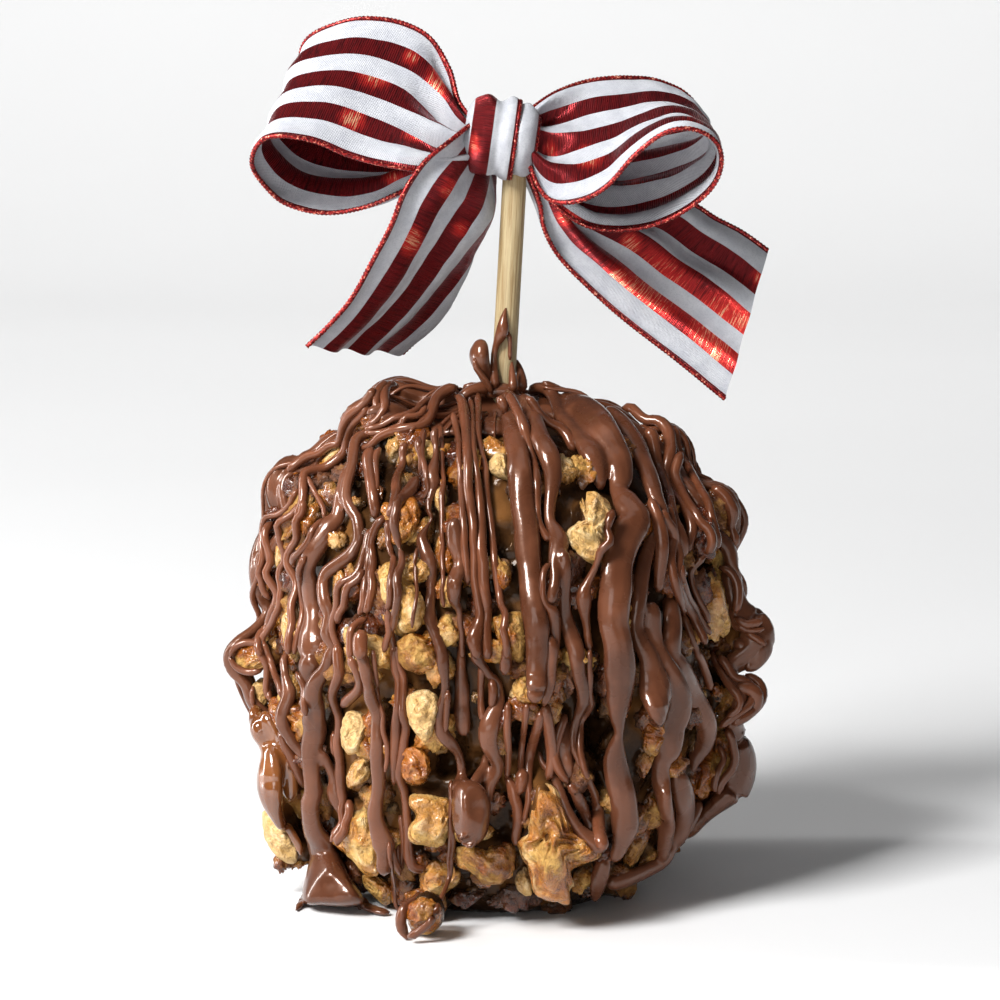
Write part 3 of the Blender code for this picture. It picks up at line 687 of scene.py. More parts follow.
def spreadNuts(kinds, spots):  # chosen ones and evenly spread ones about the sides and the back
    rng = random.Random(5)
    taken = [spotOnCore(nut[0], nut[1]) for nut in chosenNuts]
    found = []
    for i in range(3 * walnuts["spread"]):
        azimuth = 360 * (i * 0.75488 % 1) + rng.uniform(-4, 4)
        height = 5 + 96 * (i * 0.56984 % 1)
        values = (rng.uniform(12, 17), rng.uniform(8.5, 12), rng.uniform(8, 10))
        turn, lift = rng.uniform(0, 180), rng.uniform(0.5, 2.5)
        spot = spotOnCore(azimuth, height)
        if all((spot - other).length > walnuts["room"] * mm for other in taken):
            taken.append(spot)
            found.append((azimuth, height, *values, turn, lift))
    around = []
    tones = random.Random(21)
    for number, nut in enumerate(chosenNuts + found[: walnuts["spread"]]):
        azimuth, height, length, width, thickness, turn, lift = nut
        if abs(azimuth if azimuth < 180 else azimuth - 360) < walnuts["front"]:
            continue
        matrix = nutFrame(azimuth, height, turn, lift) @ nutSize(length, width, thickness)
        tone = tones.choice([0.15, 0.35, 0.45, 0.55, 0.65, 0.75, 0.85])
        around.append(copyNut(kinds, number, matrix, tone, walnuts["triangles"][1]))
        spots.append(matrix.translation.copy())
    return around


def placeSeenNut(tree, x, y, wide, tall, lean, lift):
    way = sightLine(x, y)
    hit = tree.ray_cast(eye, way)
    if hit[0] is None:
        nearest = min((tree.find_nearest(eye + way * d) + (d,) for d in np.arange(0.84, 0.96, 0.004)),
                      key=lambda found: found[3])
        spot, outward = eye + way * nearest[4], facesMeeting(tree, nearest[0])
    else:
        spot, outward = hit[0], hit[1]
    facing = (outward * 0.75 - way * 0.5).normalized()
    side = pictureUp.cross(facing).normalized()
    basis = Matrix((side, facing.cross(side), facing)).transposed().to_4x4()
    turn = Matrix.Rotation(math.radians(-lean), 4, "Z")
    deep = min(wide, tall) * 0.5 + 12
    toGround = (eye.z - 0.22 * tall * pixel) / -way.z if way.z < 0 else 9
    if toGround < (spot - eye).length:
        spot = eye + way * toGround
    return Matrix.Translation(spot + outward * lift * mm * 0.6) @ basis @ turn @ nutSize(
        wide * pixel / mm, tall * pixel / mm, deep * pixel / mm)


def placeSeenNuts(kinds, tree, spots):
    big = []
    finest, fine = walnuts["triangles"][:2]
    for number, (x, y, wide, tall, lean, tone, lift) in enumerate(seenNuts):
        matrix = placeSeenNut(tree, x, y, wide, tall, lean, lift)
        kind = number * 3 if tone < 0.12 else number * 5 + 1
        big.append(copyNut(kinds, kind, matrix, tone, finest if wide * tall > 900 else fine))
        spots.append(matrix.translation.copy())
    return big


def fillGaps(kinds, spots):  # small pieces where there is room, and crumbs anywhere
    small, crumbs = [], []
    rng = random.Random(9)
    tries = 0
    while len(small) < walnuts["fillers"] and tries < walnuts["tries"]:
        tries += 1
        azimuth, height = rng.uniform(0, 360), 4 + 102 * rng.random() ** 0.9
        spot = spotOnCore(azimuth, height)
        if inHollow(spot) or min((spot - other).length for other in spots) < walnuts["fillerRoom"] * mm:
            continue
        spots.append(spot)
        matrix = nutFrame(azimuth, height, rng.uniform(0, 180), rng.uniform(0.2, 1.8)) @ nutSize(
            rng.uniform(8, 13), rng.uniform(6, 9), rng.uniform(6, 8.5))
        number, tone = rng.randrange(99), rng.choice([0.3, 0.5, 0.6, 0.7, 0.8, 0.95])
        small.append(copyNut(kinds, number, matrix, tone, walnuts["triangles"][2]))
    for crumb in range(walnuts["crumbs"]):
        length = rng.uniform(1.6, 3.6)
        basis = nutFrame(rng.uniform(0, 360), rng.uniform(3, 106), rng.uniform(0, 180), rng.uniform(0, 0.6))
        matrix = basis @ nutSize(length, length * rng.uniform(0.6, 0.9), length * 0.8)
        if inHollow(matrix.translation):
            continue
        number, tone = rng.randrange(99), rng.uniform(0.1, 0.8)
        crumbs.append(copyNut(kinds, number, matrix, tone, walnuts["triangles"][3]))
    return small, crumbs


def placeNuts():
    kinds = makeKinds()
    print("walnut kinds shaped")
    spots = []
    around = spreadNuts(kinds, spots)
    coreTree = surfaceTree(core)
    big = placeSeenNuts(kinds, coreTree, spots)
    shaped = [shapeOutlined(number, coreTree, *values) for number, values in enumerate(outlinedNuts)]
    spots += [Vector(pointsOf(nut).mean(0)) for nut in shaped]
    small, crumbs = fillGaps(kinds, spots)
    for sizes in kinds:
        for obj in sizes.values():
            bpy.data.objects.remove(obj)
    for nuts in (around, small, crumbs):
        for nut in list(nuts):
            gap = min(coreTree.find_nearest(Vector(point))[3] for point in pointsOf(nut))
            if gap > walnuts["loose"] * mm:
                nuts.remove(nut)
                bpy.data.objects.remove(nut)
                print("a nut off the core left out")
    pieces = [joinAs("walnutsFront", big), joinAs("walnutsTraced", shaped), joinAs("walnutsAround", around),
              joinAs("walnutBits", small), joinAs("walnutCrumbs", crumbs)]
    for piece in pieces:
        liftToGround(piece)
        # how far each point stands off the core; the walnut finish paints shade near the core from this
        rise = [coreTree.find_nearest(Vector(point))[3] / mm for point in pointsOf(piece)]
        setAttribute(piece, "rise", np.array(rise))
        print(piece.name, triangleCount(piece), "triangles")
    return pieces


# Core and nuts put together
caramel = {  # mm
    "voxel": 1.1,
    "smooth": 4,  # passes
    "rootDepth": 2.6,  # how far inside a nut's skin its root lies
    "lumps": ((9, 0.9), (4, 0.35)),  # size and height
}
core = shapeCore()
core.name = core.data.name = "caramelCore"
nutPieces = placeNuts()
roots = []
for piece in nutPieces[:4]:
    copied = copyOf(piece, "roots")
    points = pointsOf(copied)
    away = points - np.array(apple["heart"]) * mm
    away[:, 2] *= np.clip((points[:, 2] / mm - 4) / 12, 0, 1)
    length = np.linalg.norm(away, axis=1, keepdims=True)
    setPoints(copied, points - away / length * caramel["rootDepth"] * mm)
    roots.append(copied)
core = joinAs("caramelCore", [core, *roots])
applyModifier(core, "REMESH", mode="VOXEL", voxel_size=caramel["voxel"] * mm)
applyModifier(core, "SMOOTH", factor=0.5, iterations=caramel["smooth"])
points = pointsOf(core)
points[:, 2] = np.maximum(points[:, 2], 0)
for i, point in enumerate(points):
    lump = sum(noise.noise(Vector(point) / (wide * mm)) * tall for wide, tall in caramel["lumps"])
    if 1 * mm < point[2]:
        points[i] += (Vector(point) - Vector(apple["heart"]) * mm).normalized() * lump * mm
        deep = inHollow(point)
        if deep:
            points[i] += forward * deep * mm
setPoints(core, points)
print("core", triangleCount(core), "triangles")


# The chocolate
# strands as they run down the front: across and down the picture, and the full width in mm where it changes
strandsSeen = [
    [(374, 388, 1.4), (368, 398), (359, 407), (348, 416), (343, 426), (341, 437), (338, 443), (328, 446),
     (319, 453), (308, 456), (300, 461), (292, 467), (287, 471)],
    [(368, 405, 1.4), (361, 415, 1.5), (352, 424), (348, 432), (346, 443), (344, 452), (335, 461),
     (324, 468), (313, 470), (305, 473), (303, 482), (303, 492), (302, 504), (296, 516)],
    [(374, 433, 1.4), (363, 435, 1.8), (356, 440, 2), (354, 448), (353, 456), (352, 466), (348, 480),
     (346, 490), (346, 498), (349, 506), (354, 514), (357, 519), (359, 535, 2.1), (357, 544),
     (349, 556, 2.5), (338, 564), (327, 572, 2.3), (323, 581, 2.1), (323, 592, 2.3), (325, 604),
     (329, 613, 2.1), (328, 625), (326, 634), (332, 644, 1.8), (334, 654, 1.6)],
    [(308, 477, 0.7), (314, 490), (321, 503), (324, 510), (324, 519)],
    [(348, 467, 1.1), (343, 475), (341, 487, 1.4), (339, 497, 1.8), (338, 516, 2.7), (328, 527, 3.7),
     (321, 539, 4.1), (313, 550, 4.4), (308, 560, 4.1), (306, 569, 3.9), (309, 579), (310, 590, 3.7),
     (311, 601, 3.4), (313, 613, 3.7), (312, 625, 4.4), (311, 634, 5.5), (312, 646, 6.9), (312, 659, 7.8)],
    [(298, 489, 0.9), (292, 498), (290, 504), (279, 514), (265, 518), (262, 534, 1), (261, 546), (263, 553),
     (261, 564), (258, 572), (261, 580), (263, 590), (270, 599)],
    [(272, 522, 1.1), (266, 529, 1.3), (265, 539), (268, 548), (270, 556), (270, 564), (266, 571),
     (267, 577), (273, 586), (277, 593), (276, 602), (272, 611), (269, 621), (267, 628), (261, 633),
     (258, 641), (258, 649), (262, 656)],
    [(301, 503, 1.1), (292, 514), (282, 520), (277, 525), (279, 534), (280, 542), (284, 552), (284, 562),
     (280, 569), (279, 577), (281, 586), (280, 596), (279, 606), (275, 615), (272, 623), (266, 632),
     (262, 639), (264, 648), (270, 659)],
    [(303, 500, 1.3), (302, 512), (296, 520), (296, 529), (297, 538), (291, 548), (287, 557), (288, 566),
     (292, 573), (296, 581), (296, 591), (292, 601), (291, 611), (292, 623), (290, 633), (288, 644),
     (289, 654)],
    [(324, 519, 0.9), (313, 529), (309, 540, 1.1), (301, 551), (293, 558), (294, 566)],
    [(306, 556, 1), (301, 564), (299, 573), (301, 585), (302, 596), (303, 608), (302, 619), (299, 630),
     (296, 642), (294, 654)],
    [(374, 529, 1.1), (368, 535), (366, 546), (363, 558), (359, 569), (353, 577), (342, 582), (337, 589),
     (337, 600), (336, 610), (333, 618), (332, 629), (335, 639), (339, 649), (341, 658)],
    [(363, 569, 1.1), (358, 579, 1.2), (348, 586), (345, 596), (344, 606), (339, 613), (337, 623)],
    [(372, 535, 1.1), (370, 548, 1.3), (368, 560), (367, 571), (365, 583), (364, 594), (363, 606),
     (359, 615)],
    [(367, 618, 1.1), (357, 623), (351, 630), (350, 639), (350, 650), (350, 659)],
    [(362, 630, 2.1), (360, 644, 2.4), (361, 659)],
    [(388, 516, 1.3), (379, 522), (374, 531), (371, 542), (372, 553), (373, 564), (371, 575), (372, 586),
     (370, 598), (367, 610), (365, 613)],
    [(387, 520, 1), (388, 534), (389, 546), (393, 556), (393, 566), (391, 577), (390, 588), (390, 600),
     (388, 611), (388, 623), (389, 633), (386, 642), (384, 652)],
    [(417, 477, 2.1), (411, 489, 2.5), (405, 496, 2.3), (398, 503), (396, 512, 2.2), (394, 522, 2.1),
     (396, 533, 1.6), (398, 542, 1), (401, 552), (402, 564, 1.3), (398, 573, 1.5), (397, 583), (398, 592),
     (397, 604, 1.4), (395, 613, 1.3), (394, 623), (391, 632, 1.1), (393, 644), (395, 655)],
    [(417, 548, 0.5), (415, 560), (415, 569), (416, 581), (417, 592), (415, 606), (413, 617),
     (412, 628, 0.3)],
    [(436, 427, 1.3), (434, 437, 1.4), (436, 446, 1), (436, 456, 1.1), (434, 466, 1.8), (432, 475, 2.3),
     (434, 484, 2.1), (432, 492, 1.3), (429, 502, 1.1), (429, 512, 0.9), (432, 518, 0.6), (429, 524),
     (426, 529, 0.9), (422, 537, 1.8), (424, 548, 2.3), (428, 560, 2.7), (431, 571, 2.1), (431, 583, 1.7),
     (431, 594, 1.6), (430, 604, 1.8), (429, 613, 2.3), (432, 625, 2.1), (436, 636, 1.9), (440, 648, 1.8),
     (442, 659, 1.7)],
    [(441, 424, 0.7), (441, 437), (442, 451, 0.8), (442, 464, 0.7), (443, 474, 0.6), (444, 482, 0.5),
     (442, 492, 0.9), (442, 506, 0.7), (442, 519, 0.6), (442, 522), (442, 535), (443, 546), (442, 558),
     (443, 569), (443, 581), (442, 592), (443, 602), (444, 607, 0.5)],
    [(455, 517, 1.6), (454, 529, 2.6), (455, 539, 2.7), (455, 545), (458, 554, 2.2), (460, 564, 2.1),
     (458, 572, 2.5), (454, 581, 3.2), (454, 591, 3), (454, 600, 2.3), (459, 610, 1.1), (460, 623, 1),
     (462, 634), (462, 649), (462, 659)],
    [(453, 413, 1.1), (455, 422, 1), (457, 431, 0.9), (459, 443), (459, 456, 0.8), (460, 471),
     (461, 490, 0.9), (462, 504), (463, 519, 1.1), (464, 533, 1.2), (464, 544), (465, 555), (466, 566),
     (467, 577), (468, 585, 0.7)],
    [(455, 396, 0.7), (461, 399, 1.4), (464, 413, 1.8), (466, 429, 1.6), (467, 446, 1.5), (468, 466),
     (468, 485), (470, 504), (473, 524, 1.3), (473, 539), (474, 550), (474, 564), (474, 577), (476, 590),
     (478, 602), (480, 613, 1.4), (479, 623, 1.6), (476, 632, 2.3), (474, 641, 2.4), (476, 650, 1.8),
     (478, 659, 1.6)],
    [(470, 398, 0.9), (472, 418), (473, 437), (474, 456), (478, 480, 1), (480, 504, 1.4), (481, 529, 1.6),
     (481, 548, 1.8), (483, 564), (483, 577), (484, 590), (486, 602), (487, 613, 1.6), (486, 625),
     (486, 636), (487, 648), (488, 659)],
    [(478, 394, 1.1), (478, 408), (478, 424), (478, 437), (481, 452, 1), (485, 468, 1.1), (486, 485),
     (488, 504), (491, 524), (493, 542), (494, 556), (495, 567), (497, 579), (499, 592), (501, 604),
     (505, 613), (505, 623), (503, 630), (506, 642), (507, 659)],
    [(424, 429, 1.1), (422, 443, 1), (422, 456, 0.9), (425, 468), (427, 480), (428, 490, 0.8),
     (424, 497, 0.6), (420, 499, 0.5)],
    [(418, 437, 1.1), (419, 446, 1.5), (421, 456, 0.9), (421, 466, 0.8), (420, 474, 0.7)],
    [(456, 387, 2.1), (445, 391), (436, 399, 1.8), (432, 410), (427, 422, 1.6), (419, 426, 1.4), (405, 428),
     (392, 431, 1.5), (379, 437, 1.4), (371, 445, 1.1), (357, 450, 0.9)],
    [(406, 443, 1.6), (403, 451, 1.4), (403, 464, 1.1), (398, 475, 1.4), (396, 485, 1.6), (396, 494, 1.5),
     (392, 506, 1.1), (388, 516)],
    [(371, 448, 1.8), (368, 458, 2.1), (369, 470, 1.8), (371, 485), (373, 496), (375, 508),
     (376, 519, 1.4)],
    [(380, 448, 1.1), (376, 456), (376, 468, 0.9), (377, 480, 0.7), (376, 492, 0.9), (374, 502), (376, 512),
     (377, 523, 0.7)],
    [(397, 386, 1.6), (387, 386), (384, 395), (385, 406, 1.4), (381, 414, 1.1), (375, 421), (367, 426)],
    [(388, 382, 1.4), (379, 389), (376, 399, 1.1), (376, 410), (370, 420, 0.9)],
    [(432, 398, 1.1), (422, 404), (417, 410), (406, 415), (394, 418, 1), (384, 424, 0.9), (375, 427),
     (365, 429)],
    [(426, 406, 0.9), (419, 415), (405, 417), (402, 424), (394, 428), (382, 432), (371, 433), (365, 432)],
    [(506, 392, 1.8), (512, 403, 3.9), (513, 418, 4.4), (514, 432), (515, 445, 4.1), (518, 456, 4.4),
     (519, 470, 4.8), (521, 485), (522, 499, 4.6), (523, 510), (526, 524, 4.8), (527, 539, 5), (528, 553),
     (530, 567, 4.6), (531, 582), (532, 596), (533, 610, 4.8), (536, 625, 5), (537, 650, 4.4),
     (536, 669, 3.7), (536, 688), (534, 703, 2.7)],
    [(549, 636, 1.8), (552, 650, 2.1), (550, 664), (549, 683), (546, 698, 1.4), (544, 706, 0.7)],
    [(508, 393, 1.4), (516, 408, 1.6), (524, 427, 1.8), (527, 439, 1.4), (531, 452, 1.1), (534, 462),
     (536, 475, 1.4), (537, 490, 1.3), (537, 504, 1.1), (538, 520), (542, 529), (547, 537, 1.4),
     (552, 539, 1.8)],
    [(523, 395, 1.8), (532, 408, 2.7), (536, 424, 3.2), (540, 437, 3.7), (546, 449, 4.1), (551, 462, 3.9),
     (553, 475, 3.2), (552, 490, 2.5), (550, 504, 2.1), (550, 521, 1.9), (554, 529, 2.5), (558, 537, 3.4),
     (559, 546, 3.7), (556, 556, 2.7), (554, 564, 1.8), (555, 577, 1.6), (554, 588, 1.8), (552, 599, 1.6),
     (550, 604, 1.4)],
    [(552, 564, 0.9), (546, 567), (543, 576), (543, 586), (543, 596), (546, 605, 1), (550, 608, 1.1),
     (552, 610, 1.8), (554, 620, 2.1), (554, 630), (554, 644, 1.8), (552, 657)],
    [(563, 550, 1.8), (565, 563, 2.1), (565, 577), (564, 591), (563, 602, 2.5), (564, 614, 2.7), (568, 627),
     (572, 638, 3), (576, 651), (579, 674, 2.3), (583, 688, 2.5), (584, 700), (580, 711, 1.8),
     (576, 720, 1.4), (573, 733), (573, 747, 1.1), (578, 760, 0.9), (581, 770, 0.7)],
    [(590, 650, 0.9), (589, 664), (590, 679, 1), (589, 693, 1.1), (591, 703), (587, 712), (581, 722, 1),
     (580, 736, 1.1), (580, 750), (584, 768, 1), (589, 782, 1.1), (594, 794, 1.4), (597, 806, 1.8),
     (598, 819, 2.1), (599, 831), (601, 840, 2.3), (604, 850, 2.1)],
    [(526, 397, 1.1), (532, 402, 1.4), (538, 412), (548, 422, 1.5), (559, 427, 1.6), (567, 435, 1.8),
     (572, 445), (575, 452, 1.6)],
    [(529, 393, 1.8), (536, 388, 2.3), (546, 389, 2.5), (554, 397), (558, 408, 2.7), (562, 418), (569, 425),
     (576, 433, 3), (583, 441, 3.7), (590, 451, 5), (595, 462, 4.4), (598, 473, 3.2), (600, 483, 2.1),
     (601, 491, 1.1)],
    [(565, 397, 4.6), (574, 404, 6.4), (584, 412, 7.3), (594, 423, 7.8), (603, 436, 7.3), (612, 449, 6.4),
     (618, 461, 6), (621, 474, 5), (620, 484, 4.1), (618, 490, 3.2), (624, 498, 5), (629, 508, 6),
     (635, 520, 6.6), (628, 533, 6.9), (622, 548, 6.4), (617, 567), (616, 587, 6.6), (614, 606, 6.4),
     (614, 625, 6), (618, 644), (620, 669, 6.9), (620, 688, 5.7), (619, 703, 4.8), (618, 717, 3),
     (619, 731, 1.6), (618, 738, 1.8), (616, 746, 3), (615, 760, 4.8), (618, 779, 5.3), (622, 795, 5.5),
     (624, 812), (625, 828, 5.3), (620, 847, 3), (613, 861, 2.5)],
    [(607, 408, 2.1), (620, 420, 3.2), (628, 433, 4.1), (636, 446, 4.4), (642, 460, 4.1), (648, 473, 3.9),
     (652, 485, 3.7), (656, 498, 3), (661, 510, 2.7), (663, 522), (658, 534), (650, 545), (645, 558),
     (642, 572, 3), (640, 587), (639, 601, 2.7), (637, 615), (636, 630, 3), (640, 642, 3.2),
     (647, 654, 3.7), (651, 668, 5), (654, 684, 6.9), (656, 699, 7.3), (658, 712, 6), (655, 726, 4.6)],
    [(613, 510, 1.4), (609, 521), (607, 530, 1.1), (610, 541, 1.4), (601, 550), (598, 560, 0.9),
     (593, 572, 1), (587, 584, 1.4), (584, 593, 2.3), (584, 604, 2.4), (585, 615, 1.6), (587, 629, 1.1),
     (588, 642, 1.3), (590, 652, 1.1)],
    [(662, 510, 1.8), (666, 521), (673, 531, 1.6), (675, 543), (679, 552, 1.4), (679, 564), (676, 572),
     (678, 585), (682, 596), (687, 607), (693, 615), (697, 625), (702, 634), (706, 644)],
    [(623, 408, 1.4), (632, 408, 1.8), (639, 415), (647, 420), (656, 420), (663, 424, 2.1), (668, 431),
     (670, 443), (670, 454), (667, 466, 1.8), (666, 477), (671, 489), (677, 499), (685, 509), (690, 519),
     (692, 530), (689, 542, 1.6), (687, 553, 1.4)],
    [(647, 429, 2.3), (652, 437), (654, 448, 2.1), (657, 462, 1.8), (660, 473), (665, 485), (669, 496),
     (671, 508), (674, 520), (679, 532, 2.1), (683, 545), (683, 557, 1.6)],
    [(674, 427, 1.6), (676, 441), (679, 452, 1.4), (685, 462), (690, 471), (696, 482), (702, 492),
     (708, 503), (712, 519), (716, 531, 1.1), (718, 541), (716, 550, 0.9)],
    [(681, 452, 1.4), (677, 464, 1.6), (675, 475), (681, 490), (687, 502), (695, 513), (700, 522),
     (708, 529), (712, 539), (711, 548, 1.4), (706, 554, 1.1)],
    [(712, 487, 1.4), (722, 493, 1.8), (729, 503, 2.1), (733, 515), (731, 527, 1.4), (735, 539, 1.8),
     (733, 547, 1.6)],
    [(682, 565, 1.1), (682, 577), (685, 588), (689, 599), (696, 609), (701, 618), (706, 628), (711, 634)],
    [(705, 556, 0.9), (697, 564), (691, 571), (692, 583), (696, 594, 1), (701, 604), (706, 613),
     (709, 623, 0.9)],
    [(719, 567, 1.1), (729, 571, 1.4), (736, 581, 1.6), (738, 593), (737, 604), (735, 613, 1.4)],
    [(735, 617, 1.1), (745, 624, 1.4), (754, 623), (762, 621)],
    [(736, 625, 0.9), (748, 630), (757, 630), (764, 628)],
    [(746, 633, 1.1), (757, 639), (766, 645)],
    [(747, 612, 1.8), (756, 613, 2.7), (763, 622, 2.3), (766, 636), (767, 650), (757, 664, 2.1),
     (745, 669)],
    [(682, 613, 1.1), (687, 625), (691, 636), (695, 648), (701, 660, 1.3), (706, 674, 1.4), (711, 690)],
    [(666, 596, 1.8), (670, 605, 3.2), (672, 618, 4.1), (672, 632, 4.4), (671, 646), (673, 658, 3.9),
     (682, 669), (689, 683, 4.1), (695, 698), (701, 709, 3.9), (706, 722, 4.1), (706, 736), (703, 746, 3.7),
     (697, 755, 3.2), (693, 765, 1.8), (693, 774, 0.7)],
    [(650, 602, 2.7), (652, 615, 3.4), (652, 634, 3.7), (655, 649), (663, 664, 4.1), (672, 680, 5),
     (679, 697, 5.5), (676, 712, 6.4), (669, 726, 6.9), (668, 740, 6.6), (667, 751, 5.5), (662, 760, 3.9),
     (660, 772, 3.4), (661, 784, 3.7), (664, 800), (666, 816), (666, 832, 3.2), (664, 848, 2.7),
     (662, 861, 1.8)],
    [(256, 642, 1.1), (258, 650), (266, 664), (267, 675), (266, 690, 1), (270, 700, 0.9)],
    [(263, 642, 1.1), (266, 650, 1), (271, 662), (274, 672), (277, 680), (280, 688), (281, 697, 0.9)],
    [(273, 679, 0.7), (268, 690, 0.9), (271, 702)],
    [(253, 686, 0.7), (252, 697), (254, 707, 0.8)],
    [(288, 652, 1.1), (284, 659, 1.3), (284, 667, 1.4), (286, 679, 1.6), (289, 692, 2.7), (287, 701, 2.6),
     (282, 714, 2.5), (283, 726, 2.3), (288, 734, 2.1), (294, 744, 1.9), (301, 753, 1.6), (304, 761, 1.1)],
    [(279, 731, 0.9), (284, 744, 1.3), (290, 755, 1.6), (296, 768, 1.7), (302, 781, 1.4), (303, 787, 0.7)],
    [(296, 672, 0.9), (304, 686, 1.1), (304, 703), (306, 716)],
    [(312, 656, 6), (309, 668, 4.6), (309, 680, 2.7), (309, 689, 1.1)],
    [(331, 648, 2.1), (326, 668, 2.3), (316, 682, 3), (313, 696, 3.7), (316, 708), (314, 719, 5),
     (315, 731, 4.6), (313, 741, 4.4), (311, 751, 3.9), (311, 765, 3.2), (312, 779), (313, 794, 3.4),
     (310, 804, 3.7), (311, 819, 3.9), (314, 831, 5), (320, 841, 6.6), (323, 853, 7.3), (326, 865, 6.9),
     (328, 877, 7.8), (328, 888, 10.1), (331, 897, 9.2)],
    [(312, 890, 2.7), (304, 898, 1.4), (300, 905, 1.3), (296, 911, 0.7)],
    [(345, 893, 3), (357, 901, 2.9), (368, 907, 2.4), (380, 911, 2.1), (390, 913, 1.4)],
    [(337, 644, 1.6), (338, 660, 1.7), (339, 674, 1.8), (335, 685, 1.6), (332, 695, 1.4), (335, 706),
     (339, 717), (339, 731), (337, 741), (338, 751, 1.6), (340, 762, 1.5), (340, 775, 1.8), (341, 789, 1.6),
     (343, 802, 1.4), (341, 811, 1.1), (342, 822, 1), (335, 834), (331, 842, 0.9)],
    [(334, 731, 0.9), (333, 746), (336, 757)],
    [(349, 657, 1.4), (357, 672), (360, 684, 1.5), (357, 692, 1.6), (349, 699, 1.7), (342, 706, 1.6)],
    [(318, 752, 1.4), (324, 757, 1.7), (330, 768, 1.6), (334, 780, 1.8), (334, 793, 2.7), (338, 803, 2.3),
     (343, 814, 1.4), (344, 823), (338, 831, 1.8), (332, 838)],
    [(349, 800, 1.4), (349, 814), (345, 824), (344, 831, 1.6), (338, 839), (337, 845, 1.1)],
    [(359, 648, 2.1), (364, 664), (368, 683, 2.2), (371, 700, 2.3), (377, 713, 2.1), (377, 727),
     (377, 741, 2.3), (377, 755, 2.5), (378, 770), (379, 784, 2.4), (377, 798, 2.2), (375, 812, 2.7),
     (377, 825, 3), (381, 837, 3.9), (384, 846, 4.4), (384, 857, 2.5), (384, 868, 3), (383, 875, 2.1)],
    [(373, 650, 0.7), (375, 669), (377, 686, 0.6), (379, 703), (383, 715), (383, 731, 0.7), (387, 746),
     (387, 760, 0.6), (385, 772, 0.5)],
    [(394, 646, 1.1), (395, 667, 1.4), (398, 679, 1.1), (398, 693, 1), (397, 707), (396, 726, 1.6),
     (395, 745), (394, 760, 1.4), (394, 773, 1), (394, 785, 0.7)],
    [(397, 646, 1.1), (398, 664), (403, 675), (404, 688), (403, 702), (403, 715, 1.4), (406, 727, 1.3),
     (404, 741, 1.4), (402, 755, 1.6), (399, 770), (400, 779, 1.5), (404, 790, 1.4), (406, 804, 1.3),
     (407, 818, 1.4), (408, 830), (408, 847, 1.6), (410, 861, 1.8), (416, 869, 1.6), (426, 868, 0.9)],
    [(400, 815, 0.9), (402, 826, 0.8), (403, 843, 0.7), (402, 857), (401, 872, 0.8)],
    [(398, 845, 0.7), (398, 857), (399, 868)],
    [(392, 846, 0.9), (394, 859, 1), (398, 868, 1.1), (400, 875, 0.7)],
    [(389, 842, 0.6), (390, 857), (392, 871, 0.5), (394, 886), (395, 900), (397, 910, 0.7)],
    [(437, 640, 1.8), (441, 650, 2.1), (443, 664), (445, 679, 1.4), (445, 693), (442, 707, 2.1),
     (440, 721, 2.3), (443, 734), (451, 744, 2.1), (458, 753, 1.4), (461, 765), (462, 776, 1.8),
     (460, 786, 3.2), (461, 799, 3.8), (462, 812, 3.9), (464, 825, 4.4), (469, 836, 5.3), (472, 844, 4.1)],
    [(461, 643, 1.1), (461, 660, 1.6), (461, 674, 1.9), (462, 688, 2.4), (462, 702, 2.7), (462, 714, 3),
     (463, 727, 2.7), (464, 736, 2.1)],
    [(448, 690, 0.9), (447, 706), (446, 722, 0.8), (446, 732, 0.7)],
    [(477, 645, 2.1), (477, 658), (483, 666, 1.4), (489, 675), (497, 682), (499, 693, 1.6), (499, 703, 2.1),
     (493, 715, 3.2), (489, 727, 3.7), (488, 741, 3.2), (492, 753, 2.5), (497, 763, 2.1), (496, 773),
     (490, 783, 2.2), (488, 796, 1.8), (486, 809, 1.6), (485, 818), (478, 826)],
    [(482, 664, 1.1), (481, 683, 1), (481, 703), (482, 715, 1.1), (485, 722, 0.9)],
    [(492, 679, 1.4), (493, 693), (491, 708, 0.9)],
    [(485, 752, 0.9), (485, 765, 1.6), (478, 777, 2.1), (473, 788, 2.5), (474, 800, 2.1), (477, 812, 1.7),
     (476, 822, 1.4)],
    [(451, 780, 0.7), (451, 804, 0.6), (450, 823, 0.7), (452, 838, 1.3), (451, 850, 1.1), (450, 862, 1),
     (450, 874, 0.7), (446, 887, 0.5), (441, 898, 0.6), (438, 905, 0.7)],
    [(419, 892, 0.9), (416, 900, 1.4), (407, 905, 1.8), (402, 913, 2.1), (401, 924), (404, 933),
     (407, 938, 1.4)],
    [(438, 903, 0.7), (436, 911, 0.9), (431, 921, 1.1), (422, 929), (413, 935, 1.4), (408, 937)],
    [(507, 646, 1.6), (506, 664, 1.9), (505, 675, 1.6)],
    [(507, 772, 0.7), (508, 779, 1.1), (512, 787, 1.8), (514, 797, 1.9), (517, 806, 1.8), (518, 822, 1.6),
     (516, 837, 1.4), (515, 845, 0.9)],
    [(522, 768, 1.4), (522, 777, 2.1), (521, 787, 1.8), (519, 795, 1.1)],
    [(542, 710, 1.4), (539, 722, 1.6), (536, 732, 1.7), (532, 746, 1.6), (529, 760, 1.4), (528, 779, 1.3),
     (529, 799, 1.1), (526, 812, 0.8), (524, 822, 0.7)],
    [(539, 750, 0.8), (542, 763, 0.9), (550, 771, 1.4), (556, 781, 1.6), (561, 795, 1.7), (565, 806, 1.8),
     (571, 817, 1.9), (578, 828, 2.1), (587, 837, 2.7), (597, 844, 3.7), (604, 851, 2.7)],
    [(569, 784, 1.6), (575, 792), (580, 802, 2.1), (586, 816, 1.8), (590, 830, 0.9)],
    [(606, 858, 2.3), (601, 871, 3.2), (598, 884, 3), (596, 896, 1.8), (594, 902, 0.9)],
